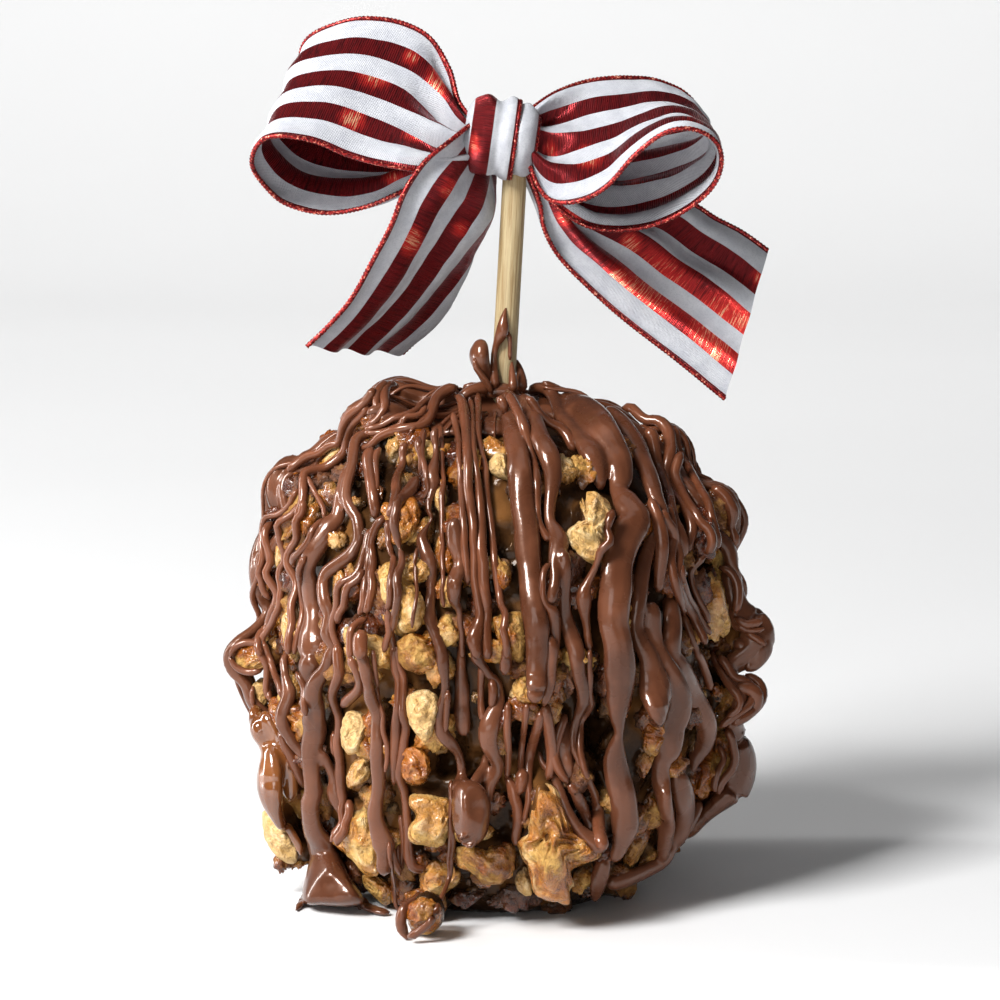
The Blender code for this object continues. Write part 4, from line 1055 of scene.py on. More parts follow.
    [(676, 770, 2.7), (680, 785, 4.4), (684, 800, 5.3), (684, 816, 5), (679, 832, 4.6), (670, 846, 3.2)],
    [(712, 652, 1.1), (714, 660, 1), (722, 674, 1.1), (730, 686, 1.4), (738, 696), (740, 704, 1.1),
     (736, 711), (727, 717, 0.9)],
    [(719, 655, 1.4), (727, 666), (734, 677), (743, 680), (750, 685), (753, 694), (750, 704, 1.3),
     (740, 712, 1.4), (730, 719), (719, 727, 1.1)],
    [(745, 675, 1.1), (757, 681, 1.6), (762, 691, 1.8), (761, 701, 1.6), (752, 711, 1.8), (741, 719),
     (731, 724, 1.1)],
    [(726, 730, 1.8), (731, 737, 1.4), (733, 746), (735, 756), (733, 767), (726, 777), (720, 785),
     (718, 794)],
    [(718, 744, 0.9), (724, 758), (718, 771, 1.1), (714, 784), (715, 792, 0.9)],
    [(700, 801, 2.1), (689, 822, 2.7), (673, 843), (664, 860), (645, 871, 3), (626, 879, 3.2),
     (607, 885, 2.7)],
    [(481, 340, 1.8), (480, 346, 4.4), (479, 353, 5.7), (480, 361), (483, 369, 4.6), (486, 377, 3.4),
     (489, 385, 2.7), (492, 393, 2.3)],
    [(474, 358, 0.6), (476, 367, 0.9), (482, 376), (488, 384), (492, 394, 0.7)],
    [(517, 360, 0.3), (519, 367, 0.9), (521, 376, 1.6), (522, 384, 2.1), (521, 392)],
    [(512, 362, 0.5), (512, 372, 0.9), (513, 382, 1.4), (513, 392, 1.8)],
    [(478, 384, 1.1), (471, 386), (464, 388, 0.9), (462, 392, 0.5)],
    [(506, 308, 0.1), (504, 316, 0.9), (503, 325, 1.8), (502, 332, 2.1), (499, 339, 1.6), (496, 346, 1),
     (494, 355, 0.9), (494, 365, 1.1), (494, 376, 1.6), (495, 388, 2.1)],
    [(508, 332, 0.9), (510, 340, 0.6), (510, 350, 0.5), (510, 360, 0.7)],
    [(456, 402, 0.9), (464, 395, 1.6), (472, 390, 1.8), (482, 388, 2.3), (490, 390, 2.1)],
    [(736, 622, 2.3), (746, 624, 3.9), (757, 632, 4.6), (763, 645, 3.9), (759, 658, 2.7), (750, 668, 1.4)],
    [(734, 640, 2.3), (744, 648, 3.2), (750, 660, 2.3), (746, 672, 1.1)],
    [(735, 690, 1.6), (748, 688, 2.3), (757, 696), (754, 710, 1.6), (742, 718, 0.9)],
    [(230, 657, 0.6), (234, 648, 0.9), (243, 643, 1.1), (254, 643), (264, 648)],
    [(229, 655, 0.5), (234, 665, 0.9), (243, 671, 1.1), (254, 672), (263, 667)],
    [(378, 402, 1.1), (382, 394, 1.8), (390, 387, 2.5), (400, 386), (408, 391, 1.8), (410, 400, 1.1)],
    [(484, 394, 2.1), (493, 391, 2.5), (502, 390, 2.7), (511, 392, 2.5), (519, 396, 2.1)],
    [(499, 396, 2.1), (503, 404, 1.8), (505, 414, 1.4)],
    [(650, 498, 1.4), (658, 520, 2.1), (662, 545, 2.3), (660, 570, 2.1), (658, 592, 1.4)],
    [(668, 505, 1.4), (673, 530, 1.6), (671, 560), (677, 590, 1.4), (685, 615, 0.9)],
    [(508, 702, 0.9), (507, 728, 1.1), (508, 752), (507, 778, 0.9)],
    [(527, 703, 0.9), (524, 730), (521, 755), (520, 780, 0.7)],
    [(565, 714, 1.6), (557, 738), (554, 756), (560, 772, 1.4), (568, 783, 0.9)],
    [(545, 704, 1.6), (549, 730, 1.8), (552, 757), (548, 780, 1.1)],
]

chocolate = {  # mm
    "spacing": 1.1,  # between the rings of a strand
    "thin": 2.4,  # strands under this width stay separate tubes
    "sides": 10,
    "voxel": 0.5,
    "most": (180000, 190000),  # triangles in a front and a back piece
    "bead": 300,  # vertices: what is smaller comes loose and is left out
    "ruleStrands": 64,
    "ruleThin": 46,
    "front": 84,  # degrees to each side where the strands by rule stay short
    "traced": (6, 72),  # degrees between which the strands seen cover the top
    "middle": 470,  # place across the picture that parts left from right
    "poolHalf": (17, 9, 7.5),
    "poolHeight": 108,
}


def fullStations(stations):  # a place without a width has the width before it
    full = []
    for place in stations:
        full.append(place if len(place) == 3 else (*place, full[-1][2]))
    return full


def drape(depths, window):  # rides on what stands out and spans the gaps between
    held = []
    for i in range(len(depths)):
        near = sorted(depths[max(0, i - window) : i + window + 1])
        held.append(sum(near[: (len(near) + 1) // 2]) / ((len(near) + 1) // 2))
    return np.array(held)


def seenRoute(tree, stations, lift=0.30):  # a strand that the picture shows, laid on what is under it
    table = evenCurve([np.array(s, dtype=float) for s in stations], chocolate["spacing"] * mm / pixel, 2)
    widths = np.maximum(table[:, 2], 0.4) + 0.3 + 0.3 * np.minimum(table[:, 2], 2.5)
    felt = [feel(tree, x, y) for x, y in table[:, :2]]
    depths = drape([depth for depth, _ in felt], 3 + int(max(widths) * 0.6))
    depths = blur(depths, 1.6 + 0.25 * float(widths.mean()))
    facing = blur(np.array([tuple(normal) for _, normal in felt]), 4)
    points, normals = [], []
    for (x, y, _), depth, width, normal in zip(table, depths, widths, facing):
        normal = Vector(normal).normalized()
        way = sightLine(x, y)
        toward = max(0.35, -normal.dot(way))
        depth -= width * lift * mm / toward * 0.6
        if way.z < 0:
            depth = min(depth, (eye.z - min(1.5, width * 0.35) * mm) / -way.z)
        points.append(eye + way * depth)
        normals.append((normal - way * 0.35).normalized())
    return points, normals, widths / 2


def ruleRoute(tree, azimuth, endHeight, half, number, start=10, limit=165):  # one that winds down by rule
    rng = random.Random(7000 + number)
    phases = [rng.uniform(0, 2 * math.pi) for _ in range(5)]
    drift = rng.uniform(-5, 5)
    heart = Vector(apple["heart"]) * mm
    places, polar = [], start
    while polar < limit:
        fade = min(1, (polar - start) / 40)
        sway = math.sin(polar / 7.5 + phases[0]) + 0.7 * math.sin(polar / 3.9 + phases[1])
        turn = azimuth + fade * (drift * polar / 90 + 3.2 * sway / 1.4)
        way = aim(turn, polar)
        hit = tree.ray_cast(heart + way * 0.1, -way)
        distance = 0.1 - (hit[3] if hit[0] is not None else 0.05)
        places.append((way, distance, hit[1] or way))
        if (heart + way * distance).z < endHeight * mm:
            break
        polar += 1.2
    depths = drape([-distance for _, distance, _ in places], 2 + int(half / 2))
    depths = -blur(depths, 0.9 + 0.2 * half)
    facing = blur(np.array([tuple(normal) for _, _, normal in places]), 4)
    points, normals, halves = [], [], []
    for i, ((way, _, _), distance, normal) in enumerate(zip(places, depths, facing)):
        share = i / max(1, len(places) - 1)
        swell = 1 + 0.25 * math.sin(i * 1.2 / 5.2 + phases[2]) + 0.14 * math.sin(i * 1.2 / 2.7 + phases[3])
        size = half * swell
        size *= 0.75 + 0.5 * share
        points.append(heart + way * (distance + size * 0.35 * mm))
        normals.append((Vector(normal).normalized() + way * 0.7).normalized())
        halves.append(size)
    return points, normals, np.array(halves)


def layStrand(route, flatten=True):  # rings of points along a route, closed with rounded ends
    points, normals, halves = route
    count, sides = len(points), chocolate["sides"]
    centres = np.array([tuple(p) for p in points])
    run = np.concatenate([[0], np.cumsum(np.linalg.norm(np.diff(centres, axis=0), axis=1))]) / mm
    verts = []
    for i in range(count):
        ahead = Vector(centres[min(i + 1, count - 1)] - centres[max(i - 1, 0)]).normalized()
        outward = normals[i] - ahead * normals[i].dot(ahead)
        outward.normalize()
        side = ahead.cross(outward)
        half = halves[i]
        toEnd = min(run[i], run[-1] - run[i]) + 0.12 * half
        half *= math.sqrt(1 - (1 - min(1, toEnd / (1.1 * half + 0.01))) ** 2)
        half = max(half, 0.03)
        thick = half if half < 1 or not flatten else 1 + (half - 1) * 0.5
        thick = min(thick, max(0.7, centres[i][2] / mm * 0.7))
        for k in range(sides):
            angle = 2 * math.pi * k / sides
            ring = side * half * math.cos(angle) + outward * thick * math.sin(angle)
            verts.append(Vector(centres[i]) + ring * mm)
    return verts, ringFaces(count, sides)


def layStrands(name, routes, flatten=True):
    points, faces = [], []
    for route in routes:
        if len(route[0]) < 3:
            continue
        newPoints, newFaces = layStrand(route, flatten)
        faces += [tuple(len(points) + i for i in face) for face in newFaces]
        points += newPoints
    obj = makePiece(name, points, faces)
    turnOutward(obj)
    return obj


def dropBeads(obj, fewest):  # small pieces that a remesh leaves loose
    pick(obj)
    name = obj.name
    bpy.ops.mesh.separate(type="LOOSE")
    parts = list(bpy.context.selected_objects)
    kept = [part for part in parts if len(part.data.vertices) >= fewest]
    for part in parts:
        if part not in kept:
            bpy.data.objects.remove(part)
    print(name, len(parts) - len(kept), "beads left out")
    return joinAs(name, kept)


def melt(obj, voxel, most, smooth=3):  # runs what touches together
    applyModifier(obj, "REMESH", mode="VOXEL", voxel_size=voxel * mm)
    obj = dropBeads(obj, chocolate["bead"])
    applyModifier(obj, "SMOOTH", factor=0.5, iterations=smooth)
    thinOut(obj, most)
    liftToGround(obj)
    print(obj.name, triangleCount(obj), "triangles")
    return obj


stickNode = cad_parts["stick"]
deselectAll()
bpy.ops.mesh.primitive_uv_sphere_add(segments=96, ring_count=48, radius=1)
pool = bpy.context.object
orderFaces(pool)
points = pointsOf(pool) * np.array(chocolate["poolHalf"])
for i, point in enumerate(points):
    points[i] *= 1 + 0.30 * noise.noise(Vector(point) / 9) + 0.10 * noise.noise(Vector(point) / 3.5)
setPoints(pool, (points + np.array((0, 2, chocolate["poolHeight"]))) * mm)
ground = surfaceTree(core, *nutPieces[:4], stickNode, pool)
thick, thin = [], []
for stations in map(fullStations, strandsSeen):
    widest = max(width for _, _, width in stations)
    (thick if widest > chocolate["thin"] else thin).append(stations)
thickRoutes = [seenRoute(ground, stations) for stations in thick]
print("front strands laid:", len(thickRoutes), "thick,", len(thin), "thin")



def strandAzimuth(number, shift):  # golden steps round the apple, and how far that is from the front
    azimuth = 360 * ((number * 0.618034 + shift) % 1)
    return azimuth, abs((azimuth + 180) % 360 - 180)


def taper(route, end):  # thins a strand towards its end
    route[2][:] *= np.linspace(1, end, len(route[2])) ** 0.5


rng = random.Random(11)
firstTraced, lastTraced = chocolate["traced"]
backRoutes = []
for number in range(chocolate["ruleStrands"]):
    azimuth, front = strandAzimuth(number, 0)
    if front < chocolate["front"]:
        limit = 25 + 14 * (front / chocolate["front"]) ** 2
        route = ruleRoute(ground, azimuth, 0, rng.uniform(1.9, 3.2), number, limit=limit)
        taper(route, 0.1)
    else:
        route = ruleRoute(ground, azimuth, rng.uniform(1, 34), rng.choice([1.3, 1.7, 2.1, 2.6, 3.1]), number)
    if not firstTraced < azimuth < lastTraced:
        backRoutes.append(route)

leftRoutes, rightRoutes = [], []
for stations, route in zip(thick, thickRoutes):
    atLeft = stations[len(stations) // 2][0] < chocolate["middle"]
    (leftRoutes if atLeft else rightRoutes).append(route)
blobs = [  # thick places in the chocolate: lift and outline
    (1, [(308, 862), (314, 846), (326, 840), (338, 848), (346, 868), (357, 888), (372, 903), (345, 907),
         (318, 906), (300, 903)]),
    (2.5, [(453, 786), (462, 779), (476, 779), (487, 789), (491, 812), (487, 836), (478, 846), (466, 847),
           (456, 839), (452, 812)]),
    (0, [(541, 713), (556, 706), (572, 712), (576, 735), (575, 760), (582, 782), (563, 786), (550, 772),
         (543, 745)]),
]
bare = surfaceTree(core)
swells = [shapeOutlined(90 + number, bare, 0, 0, *values) for number, values in enumerate(blobs)]
for swell in swells:
    applyModifier(swell, "SMOOTH", factor=0.5, iterations=30)
mostFront, mostBack = chocolate["most"]
left = joinAs("chocolateFlowsLeft", [layStrands("chocolateFlowsLeft", leftRoutes), *swells])
flows = [melt(left, chocolate["voxel"], mostFront)]
flows.append(melt(layStrands("chocolateFlowsRight", rightRoutes), chocolate["voxel"], mostFront))
back = joinAs("chocolateFlowsBack", [layStrands("chocolateFlowsBack", backRoutes), pool])
flows.append(melt(back, chocolate["voxel"] * 1.2, mostBack))
laid = surfaceTree(core, *nutPieces[:4], stickNode, *flows)
thinRoutes = [seenRoute(laid, stations, 0.45) for stations in thin]
for number in range(chocolate["ruleThin"]):
    azimuth, front = strandAzimuth(number, 0.31)
    if front < chocolate["front"]:
        route = ruleRoute(laid, azimuth, 0, rng.uniform(0.5, 0.8), 500 + number, limit=rng.uniform(24, 32))
        taper(route, 0.2)
    else:
        route = ruleRoute(laid, azimuth, rng.uniform(4, 60), rng.uniform(0.45, 0.85), 500 + number)
    if not firstTraced < azimuth < lastTraced:
        thinRoutes.append(route)
strands = layStrands("chocolateStrands", thinRoutes)
print("chocolateStrands", triangleCount(strands), "triangles")

# Caramel that ran down at the left
caramelSeen = [
    [(255, 705, 1.6), (257, 718, 3.4), (258, 731, 4.6), (266, 745, 3.6), (270, 757, 5.6), (270, 772, 6.6),
     (270, 788, 6.8), (272, 803, 5.6), (278, 818, 3.4), (284, 830, 1.6)],
    [(258, 792, 2), (257, 801, 2.8), (259, 812, 1.6)],
    [(264, 712, 3), (268, 725, 3.6), (276, 740, 3.2), (282, 755, 3.6), (288, 770), (290, 786, 3.2),
     (290, 800, 2.4)],
    [(285, 822, 1.4), (292, 834, 1.6), (299, 846, 1.4), (301, 856, 1)],
]
runRoutes = [seenRoute(ground, fullStations(stations), 0.5) for stations in caramelSeen]
caramelRun = melt(layStrands("caramelRun", runRoutes), chocolate["voxel"], 60000, smooth=6)


# The ribbon
ribbon = {  # mm
    "width": 38,
    "thickness": 0.4,
    "pleats": 3,
    "along": 1.0,  # mm between rows
    "across": 48,
    "bead": 0.45,
    "knot": (1.3, -2.5, 173.3),
    "unwrapped": 120,  # length that the UV map's side stands for
    "waviest": 4.6,
    "threads": (0.62, 0.44),  # half widths along the beaded edge
}

# each pair: far edge, near edge, in mm from the middle of the knot
loopLeftStations = [
    ((-6.5, 2.5, 3.5), (-7.5, -2.5, -5)), ((-10, 6.5, 8), (-12.5, -7.5, -6.5)),
    ((-12, 10.5, 15), (-19.5, -11, -6.5)), ((-16.5, 12.5, 22), (-28, -12.5, -5)),
    ((-23, 13.5, 25.5), (-35, -12.5, -3)), ((-31, 13.5, 26.5), (-42, -13.5, 0)),
    ((-38.5, 14.5, 25), (-49, -13.5, 1)), ((-44.5, 17, 22), (-53.5, -12.5, 0)),
    ((-46.5, 20.5, 17), (-56, -8.5, -4.5)), ((-45, 23.5, 11.5), (-54.5, -4.5, -9)),
    ((-40, 27, 7.5), (-49.5, -0.5, -14.5)), ((-32, 28, 5.5), (-41, 1, -17)),
    ((-22.5, 24.5, 3.5), (-31, 0.5, -15.5)), ((-14.5, 16.5, 2.5), (-22, -0.5, -11.5)),
    ((-6, 5.5, 1.5), (-6.5, -0.5, -4.5)),
]
loopRightStations = [
    ((6, 2.5, 6), (5.5, -2.5, -5)), ((11.5, 8.5, 9.5), (9.5, -10.5, -12.5)),
    ((18.5, 13.5, 12), (15.5, -14.5, -13.5)), ((26.5, 15.5, 13), (22.5, -14.5, -10.5)),
    ((34, 18.5, 12.5), (29, -15.5, -3.5)), ((40, 20.5, 10.5), (35, -15.5, 1.5)),
    ((43.5, 21.5, 8), (40.5, -15.5, 3)), ((45.5, 23, 5), (45.5, -14, 1.5)),
    ((46.5, 24.5, 3), (48.5, -11.5, -2)), ((46, 26.5, 1.5), (48.5, -8.5, -7.5)),
    ((42.5, 28, 0.5), (45, -6, -13)), ((37, 28.5, -0.5), (37.5, -4, -18)),
    ((29.5, 26.5, -1.5), (27.5, -3.5, -20.5)), ((22.5, 22.5, -2), (18.5, -3.5, -19.5)),
    ((15, 14.5, -2), (11, -3.5, -14)), ((6, 5.5, -0.5), (5, -1.5, -5)),
]
tailLeftStations = [
    ((-5.5, -2.5, 4.5), (-4, -1.5, -6)), ((-11.5, -9.5, 0), (-1.5, -2.5, -11)),
    ((-17.5, -12.5, -5), (-1.5, 2.5, -16)), ((-22, -14.5, -11.5), (-3.5, 9.5, -21.5)),
    ((-25, -13.5, -19), (-6.5, 14.5, -27)), ((-29.5, -11.5, -27.5), (-9.5, 17.5, -32.5)),
    ((-34, -9.5, -35.5), (-13, 19.5, -38.5)), ((-39, -8.5, -41.5), (-18, 20.5, -45)),
    ((-44, -8.5, -46.5), (-23.5, 21.5, -51)),
]
tailRightStations = [
    ((6, 4.5, -3), (6, 0.5, -6.5)), ((14.5, 11.5, -10), (8.5, 1.5, -14.5)),
    ((24, 16.5, -13), (9.5, 2.5, -20.5)), ((34, 19.5, -14.5), (13, 4.5, -27)),
    ((43.5, 20.5, -16), (19.5, 6, -34)), ((49.5, 21.5, -19.5), (28.5, 6.5, -42)),
    ((56, 21.5, -23), (39.5, 6.5, -50.5)), ((61.5, 20.5, -27), (51, 6.5, -60)),
]


def setUV(obj, along, across):
    layer = obj.data.uv_layers.new(name="UVMap")
    index = np.empty(len(obj.data.loops), dtype=np.int32)
    obj.data.loops.foreach_get("vertex_index", index)
    layer.data.foreach_set("uv", np.stack([along[index], across[index]], 1).astype(np.float32).ravel())


# painted highlights (glints) on the red stripes: across, down, half width, half height in the picture, and
# strength
paintedGlints = [
    (375, 77, 20, 14, 1.1), (352, 119, 15, 13, 1.2), (411, 57, 12, 11, 0.9), (436, 88, 12, 28, 1.1),
    (474, 143, 8, 14, 0.9), (411, 136, 14, 10, 0.7), (411, 240, 14, 18, 1.1), (452, 192, 16, 18, 0.8),
    (460, 229, 12, 10, 0.9), (393, 178, 12, 9, 0.9), (588, 158, 17, 12, 1.2), (550, 150, 10, 12, 0.8),
    (634, 180, 16, 12, 0.7), (569, 217, 14, 12, 0.9), (631, 244, 13, 13, 1.1), (619, 279, 14, 15, 1.1),
    (713, 356, 12, 13, 1.1), (742, 321, 10, 11, 1.1), (759, 277, 9, 10, 0.9), (650, 290, 60, 50, 0.9),
    (720, 330, 50, 50, 0.9), (692, 120, 12, 10, 0.5),
]


# how strongly each point gets the painted highlight, by where it is seen in the picture
def paintedShineOf(points):
    shine = []
    for point in points:
        x, y = pictureSpot(point)
        shine.append(max(most * math.exp(-((x - a) / wide) ** 2 - ((y - b) / tall) ** 2)
                         for a, b, wide, tall, most in paintedGlints))
    return np.array(shine)


def weave(name, table, along, across):  # a strip of cloth through a table of points
    rows, columns = table.shape[0] - 1, table.shape[1] - 1
    deselectAll()
    bpy.ops.mesh.primitive_grid_add(x_subdivisions=rows, y_subdivisions=columns, size=2)
    strip = bpy.context.object
    strip.name = strip.data.name = name
    flat = pointsOf(strip)
    i = np.rint((flat[:, 0] + 1) / 2 * rows).astype(int)
    j = np.rint((flat[:, 1] + 1) / 2 * columns).astype(int)
    setPoints(strip, table[i, j])
    setUV(strip, along[i] / ribbon["unwrapped"], across[j])
    # the painted highlight on the red stripes, fixed on the cloth
    setAttribute(strip, "shine", paintedShineOf(pointsOf(strip)))
    applyModifier(strip, "SOLIDIFY", thickness=ribbon["thickness"] * mm, offset=0)
    pick(strip)
    bpy.ops.object.shade_smooth_by_angle(angle=math.radians(50))
    return strip


def layRibbon(name, stations, length, seed, bulge=0, hook=None):
    far = evenCurve([np.array(s[0] + s[1], dtype=float) for s in stations], 1, 6)
    count = max(24, int(length / ribbon["along"]))
    pairs = np.stack([np.interp(np.linspace(0, len(far) - 1, count + 1), np.arange(len(far)), far[:, k])
                      for k in range(6)], 1)
    a, b = pairs[:, :3], pairs[:, 3:].copy()
    across = np.linspace(0, 1, ribbon["across"] + 1)
    back = np.zeros(count + 1)
    if hook:  # the part of the width that turns back behind the near edge
        back = np.interp(np.linspace(0, 1, count + 1), np.linspace(0, 1, len(hook)), hook)
        flatPart = ribbon["width"] * (1 - back) * 0.96
        seen = (a[:, 0] - b[:, 0]) ** 2 + (a[:, 2] - b[:, 2]) ** 2
        b[:, 1] = a[:, 1] + np.sqrt(np.maximum(4, flatPart**2 - seen))
    chord = np.linalg.norm(a - b, axis=1) + back * ribbon["width"]
    share = np.minimum(1, across[None] / (1 - back[:, None]))[:, :, None]
    past = np.maximum(0, across[None] - (1 - back[:, None]))[:, :, None] * ribbon["width"]
    sheet = a[:, None] * (1 - share) + b[:, None] * share
    sheet += past * np.array((-0.35, 0.9, -0.1)) + np.minimum(past, 2) * np.array((0.5, 0, 0))
    position = np.linspace(0, len(stations) - 1, count + 1)
    bow = 4 * across * (1 - across)
    sheet[:, :, 1] -= bow[None] * bulge * np.minimum(1, position / 2)[:, None]
    ahead = np.gradient(sheet, axis=0)
    sideways = np.gradient(sheet, axis=1)
    normal = np.cross(ahead, sideways)
    normal /= np.linalg.norm(normal, axis=2, keepdims=True) + 1e-9
    tall = np.sqrt(np.maximum(0, ribbon["width"] ** 2 - chord**2)) / (2 * ribbon["pleats"])
    tall = blur(np.minimum(tall, ribbon["waviest"]), 2)
    rng = random.Random(seed)
    phase = rng.uniform(0, 6)
    run = np.linspace(0, 1, count + 1) * length
    wave = np.zeros(sheet.shape[:2])
    for i in range(count + 1):
        for j, v in enumerate(across):
            fold = math.cos(2 * math.pi * ribbon["pleats"] * v + phase + 0.25 * math.sin(run[i] / 9))
            spot = Vector((run[i] / 11, v * 3.4, seed))
            wave[i, j] = tall[i] * 0.5 * fold + 0.55 * noise.noise(spot) + 0.22 * noise.noise(spot * 2.7)
    edge = np.minimum(1, np.minimum(across, 1 - across) * 14 + 0.35)
    sheet += normal * (wave * edge[None])[:, :, None]
    sheet = (sheet + np.array(ribbon["knot"])) * mm
    return weave(name, sheet, run, across), sheet


def layRope(name, edge):  # the beaded thread that binds an edge
    points = evenCurve([np.array(p) / mm for p in edge], ribbon["bead"], 3)
    route = [Vector(p) * mm for p in points]
    normals = [Vector((0.1, 0.3, 1)).normalized()] * len(route)
    thickest, thinnest = ribbon["threads"]
    halves = np.array([thickest if i % 2 else thinnest for i in range(len(route))])
    verts, faces = layRing(route, normals, halves, 8)
    rope = makePiece(name, verts, faces)
    turnOutward(rope)
    bpy.ops.object.shade_smooth_by_angle(angle=math.radians(60))
    return rope


def layRing(points, normals, halves, sides):
    verts, count = [], len(points)
    outward = normals[0]
    for i in range(count):
        ahead = (points[min(i + 1, count - 1)] - points[max(i - 1, 0)]).normalized()
        outward = (outward - ahead * outward.dot(ahead)).normalized()
        side = ahead.cross(outward)
        for k in range(sides):
            angle = 2 * math.pi * k / sides
            verts.append(points[i] + (side * math.cos(angle) + outward * math.sin(angle)) * halves[i] * mm)
    return verts, ringFaces(count, sides)


sheets, ropes = {}, {}
for name, stations, length, seed, bulge, hook in (
    ("loopLeft", loopLeftStations, 109, 3, 0, None), ("loopRight", loopRightStations, 99, 8, 0, None),
    ("tailLeft", tailLeftStations, 60, 13, 2, (0.1, 0.28, 0.3, 0.26, 0.2, 0.14, 0.08, 0.02)),
    ("tailRight", tailRightStations, 66, 21, 0, None),
):
    strip, sheet = layRibbon(name, stations, length, seed, bulge, hook)
    sheets[name] = strip
    ropes[name] = [layRope(name + "EdgeFar", sheet[:, 0]), layRope(name + "EdgeNear", sheet[:, -1])]
    print(name, triangleCount(strip), "triangles")

knot = {  # mm
    "half": (7.2, 8.5),  # depth and height of the barrel
    "lean": 8,
    "rounds": 72,
    "length": 47,  # of the ribbon in it
    # across the ribbon: mm from its edge, place along the knot, height over the knot's barrel
    "fold": [
        (0, 2.8, 1.3), (1.2, 2.0, 1.9), (3.6, 0.4, 1.6), (6.1, -1.2, 0.9), (7.6, -2.4, 1.2),
        (9.4, -4.2, 1.7), (11.3, -6.0, 1.2), (13, -7.6, 0.5), (14.6, -8.5, -1.3), (16.4, -7.4, -3.4),
        (19, -5.0, -1.7), (22, -2.2, -0.6), (25, -0.4, -3.3), (28, 2.0, -0.6), (31, 3.4, 0.6),
        (33.6, 5.4, 0.9), (36, 6.9, 0.0), (38, 7.6, -1.2),
    ],
}


def layKnot():
    fold = evenCurve([np.array((x, h, v), dtype=float) for v, x, h in knot["fold"]], 0.6, 2)
    rounds, count = knot["rounds"], len(fold)
    lean = Matrix.Rotation(math.radians(knot["lean"]), 4, "Y")
    place = Matrix.Translation(Vector(ribbon["knot"]) * mm) @ lean
    table = np.empty((rounds + 1, count, 3))
    for r in range(rounds + 1):
        turn = 2 * math.pi * r / rounds * 0.985 + math.radians(92)
        for c, (x, h, v) in enumerate(fold):
            bulge = math.sqrt(max(0.1, 1 - (abs(x) / 8.8) ** 4))
            rough = 0.6 * noise.noise(Vector((v * 0.35, math.cos(turn) * 1.5, math.sin(turn) * 1.5)))
            y = (knot["half"][0] - 1.2) * (0.55 + 0.45 * bulge) + h + rough
            z = (knot["half"][1] - 1.2) * (0.72 + 0.28 * bulge) + h + rough
            table[r, c] = place @ (Vector((x, y * math.cos(turn), z * math.sin(turn))) * mm)
    along = np.arange(rounds + 1) / rounds * knot["length"]
    wrap = weave("knotWrap", table, along, fold[:, 2] / ribbon["width"])
    edges = [layRope("knotWrapEdgeFront", table[:, 0]), layRope("knotWrapEdgeBack", table[:, -1])]
    return wrap, edges


sheets["knotWrap"], ropes["knotWrap"] = layKnot()
print("knot laid")


# Finishes
def makeCaramelFinish():
    f = Finish("burntCaramel", {"IOR": 1.3, "Specular IOR Level": 0.3, "Specular Tint": (0.8, 0.5, 0.3),
                                "Coat Roughness": 0.07, "Coat IOR": 1.5})
    place = f.place()
    depth = f.cloud(place, 90, 4, 0.6)
    fine = f.cloud(place, 700, 3, 0.6)
    base = f.mix(f.between(depth, 0.40, 0.66), (0.014, 0.0058, 0.0024), (0.050, 0.021, 0.007))
    base = f.mix(f.between(f.cloud(place, 45, 3), 0.52, 0.70), base, (0.17, 0.070, 0.020))
    rough = f.between(f.cloud(place, 160, 3), 0.3, 0.7, 0.12, 0.36)
    normal = f.bump(depth + fine * 0.15, 0.5, 0.0016)
    f.feed(f.shader, {"Base Color": base, "Roughness": rough, "Coat Weight": 0.16, "Normal": normal})
    return f.material


def makeWalnutFinish():
    f = Finish("candiedWalnut", {"IOR": 1.38, "Coat Roughness": 0.09, "Coat IOR": 1.5})
    place = f.place()
    tone, flesh, rise = f.attribute("tone"), f.attribute("flesh"), f.attribute("rise")
    blotch = f.cloud(place, 210, 5, 0.62, 0.6)
    fine = f.cloud(place, 900, 4, 0.65)
    veins = f.cloud(place, 420, 3, 0.6, 2.2)
    shade = tone + (blotch - 0.5) * 1.15 + (fine - 0.5) * 0.35 + 0.02
    stops = [(0.0, (0.64, 0.43, 0.185)), (0.28, (0.56, 0.33, 0.090)), (0.55, (0.32, 0.148, 0.030)),
             (0.80, (0.13, 0.042, 0.012)), (1.0, (0.055, 0.017, 0.007))]
    skin = f.add("ValToRGB", {"stops": stops}, {"Fac": shade})
    skin = f.mix(f.between(veins, 0.56, 0.66) * 0.5, skin, (0.16, 0.055, 0.013))
    stops = [(0.0, (0.76, 0.58, 0.33)), (0.5, (0.62, 0.41, 0.17)), (1.0, (0.42, 0.22, 0.065))]
    broken = f.add("ValToRGB", {"stops": stops}, {"Fac": f.between(blotch * 0.6 + fine * 0.4, 0.35, 0.7)})
    pale = f.between(flesh * (1.2 - 1.3 * tone), 0.42, 1.0)
    base = f.mix(pale, skin, broken)
    glaze = f.between(f.cloud(place, 120, 4, 0.55), 0.38, 0.58) * f.between(tone, 0.0, 0.45, 0.15, 1)
    base = f.mix(glaze, base, f.mix(1.0, base, (0.70, 0.36, 0.11), "MULTIPLY"))
    paintedShadeAndCaramel = f.between(rise + (blotch - 0.5) * 4, 0.8, 3.5, 1, 0)  # darker where the nut lies close to the core: painted contact shade, partly the dark caramel the nut sits in
    base = f.mix(paintedShadeAndCaramel * 0.88, base, (0.040, 0.016, 0.006))
    rough = f.between(glaze, 0.05, 0.5, 0.50, 0.16)
    normal = f.bump(fine, 0.6, 0.0006, f.bump(veins, 0.8, 0.0014))
    coat = f.between(glaze, 0.1, 0.6, 0.05, 0.6)
    f.feed(f.shader, {"Base Color": base, "Roughness": rough, "Coat Weight": coat, "Normal": normal})
    return f.material


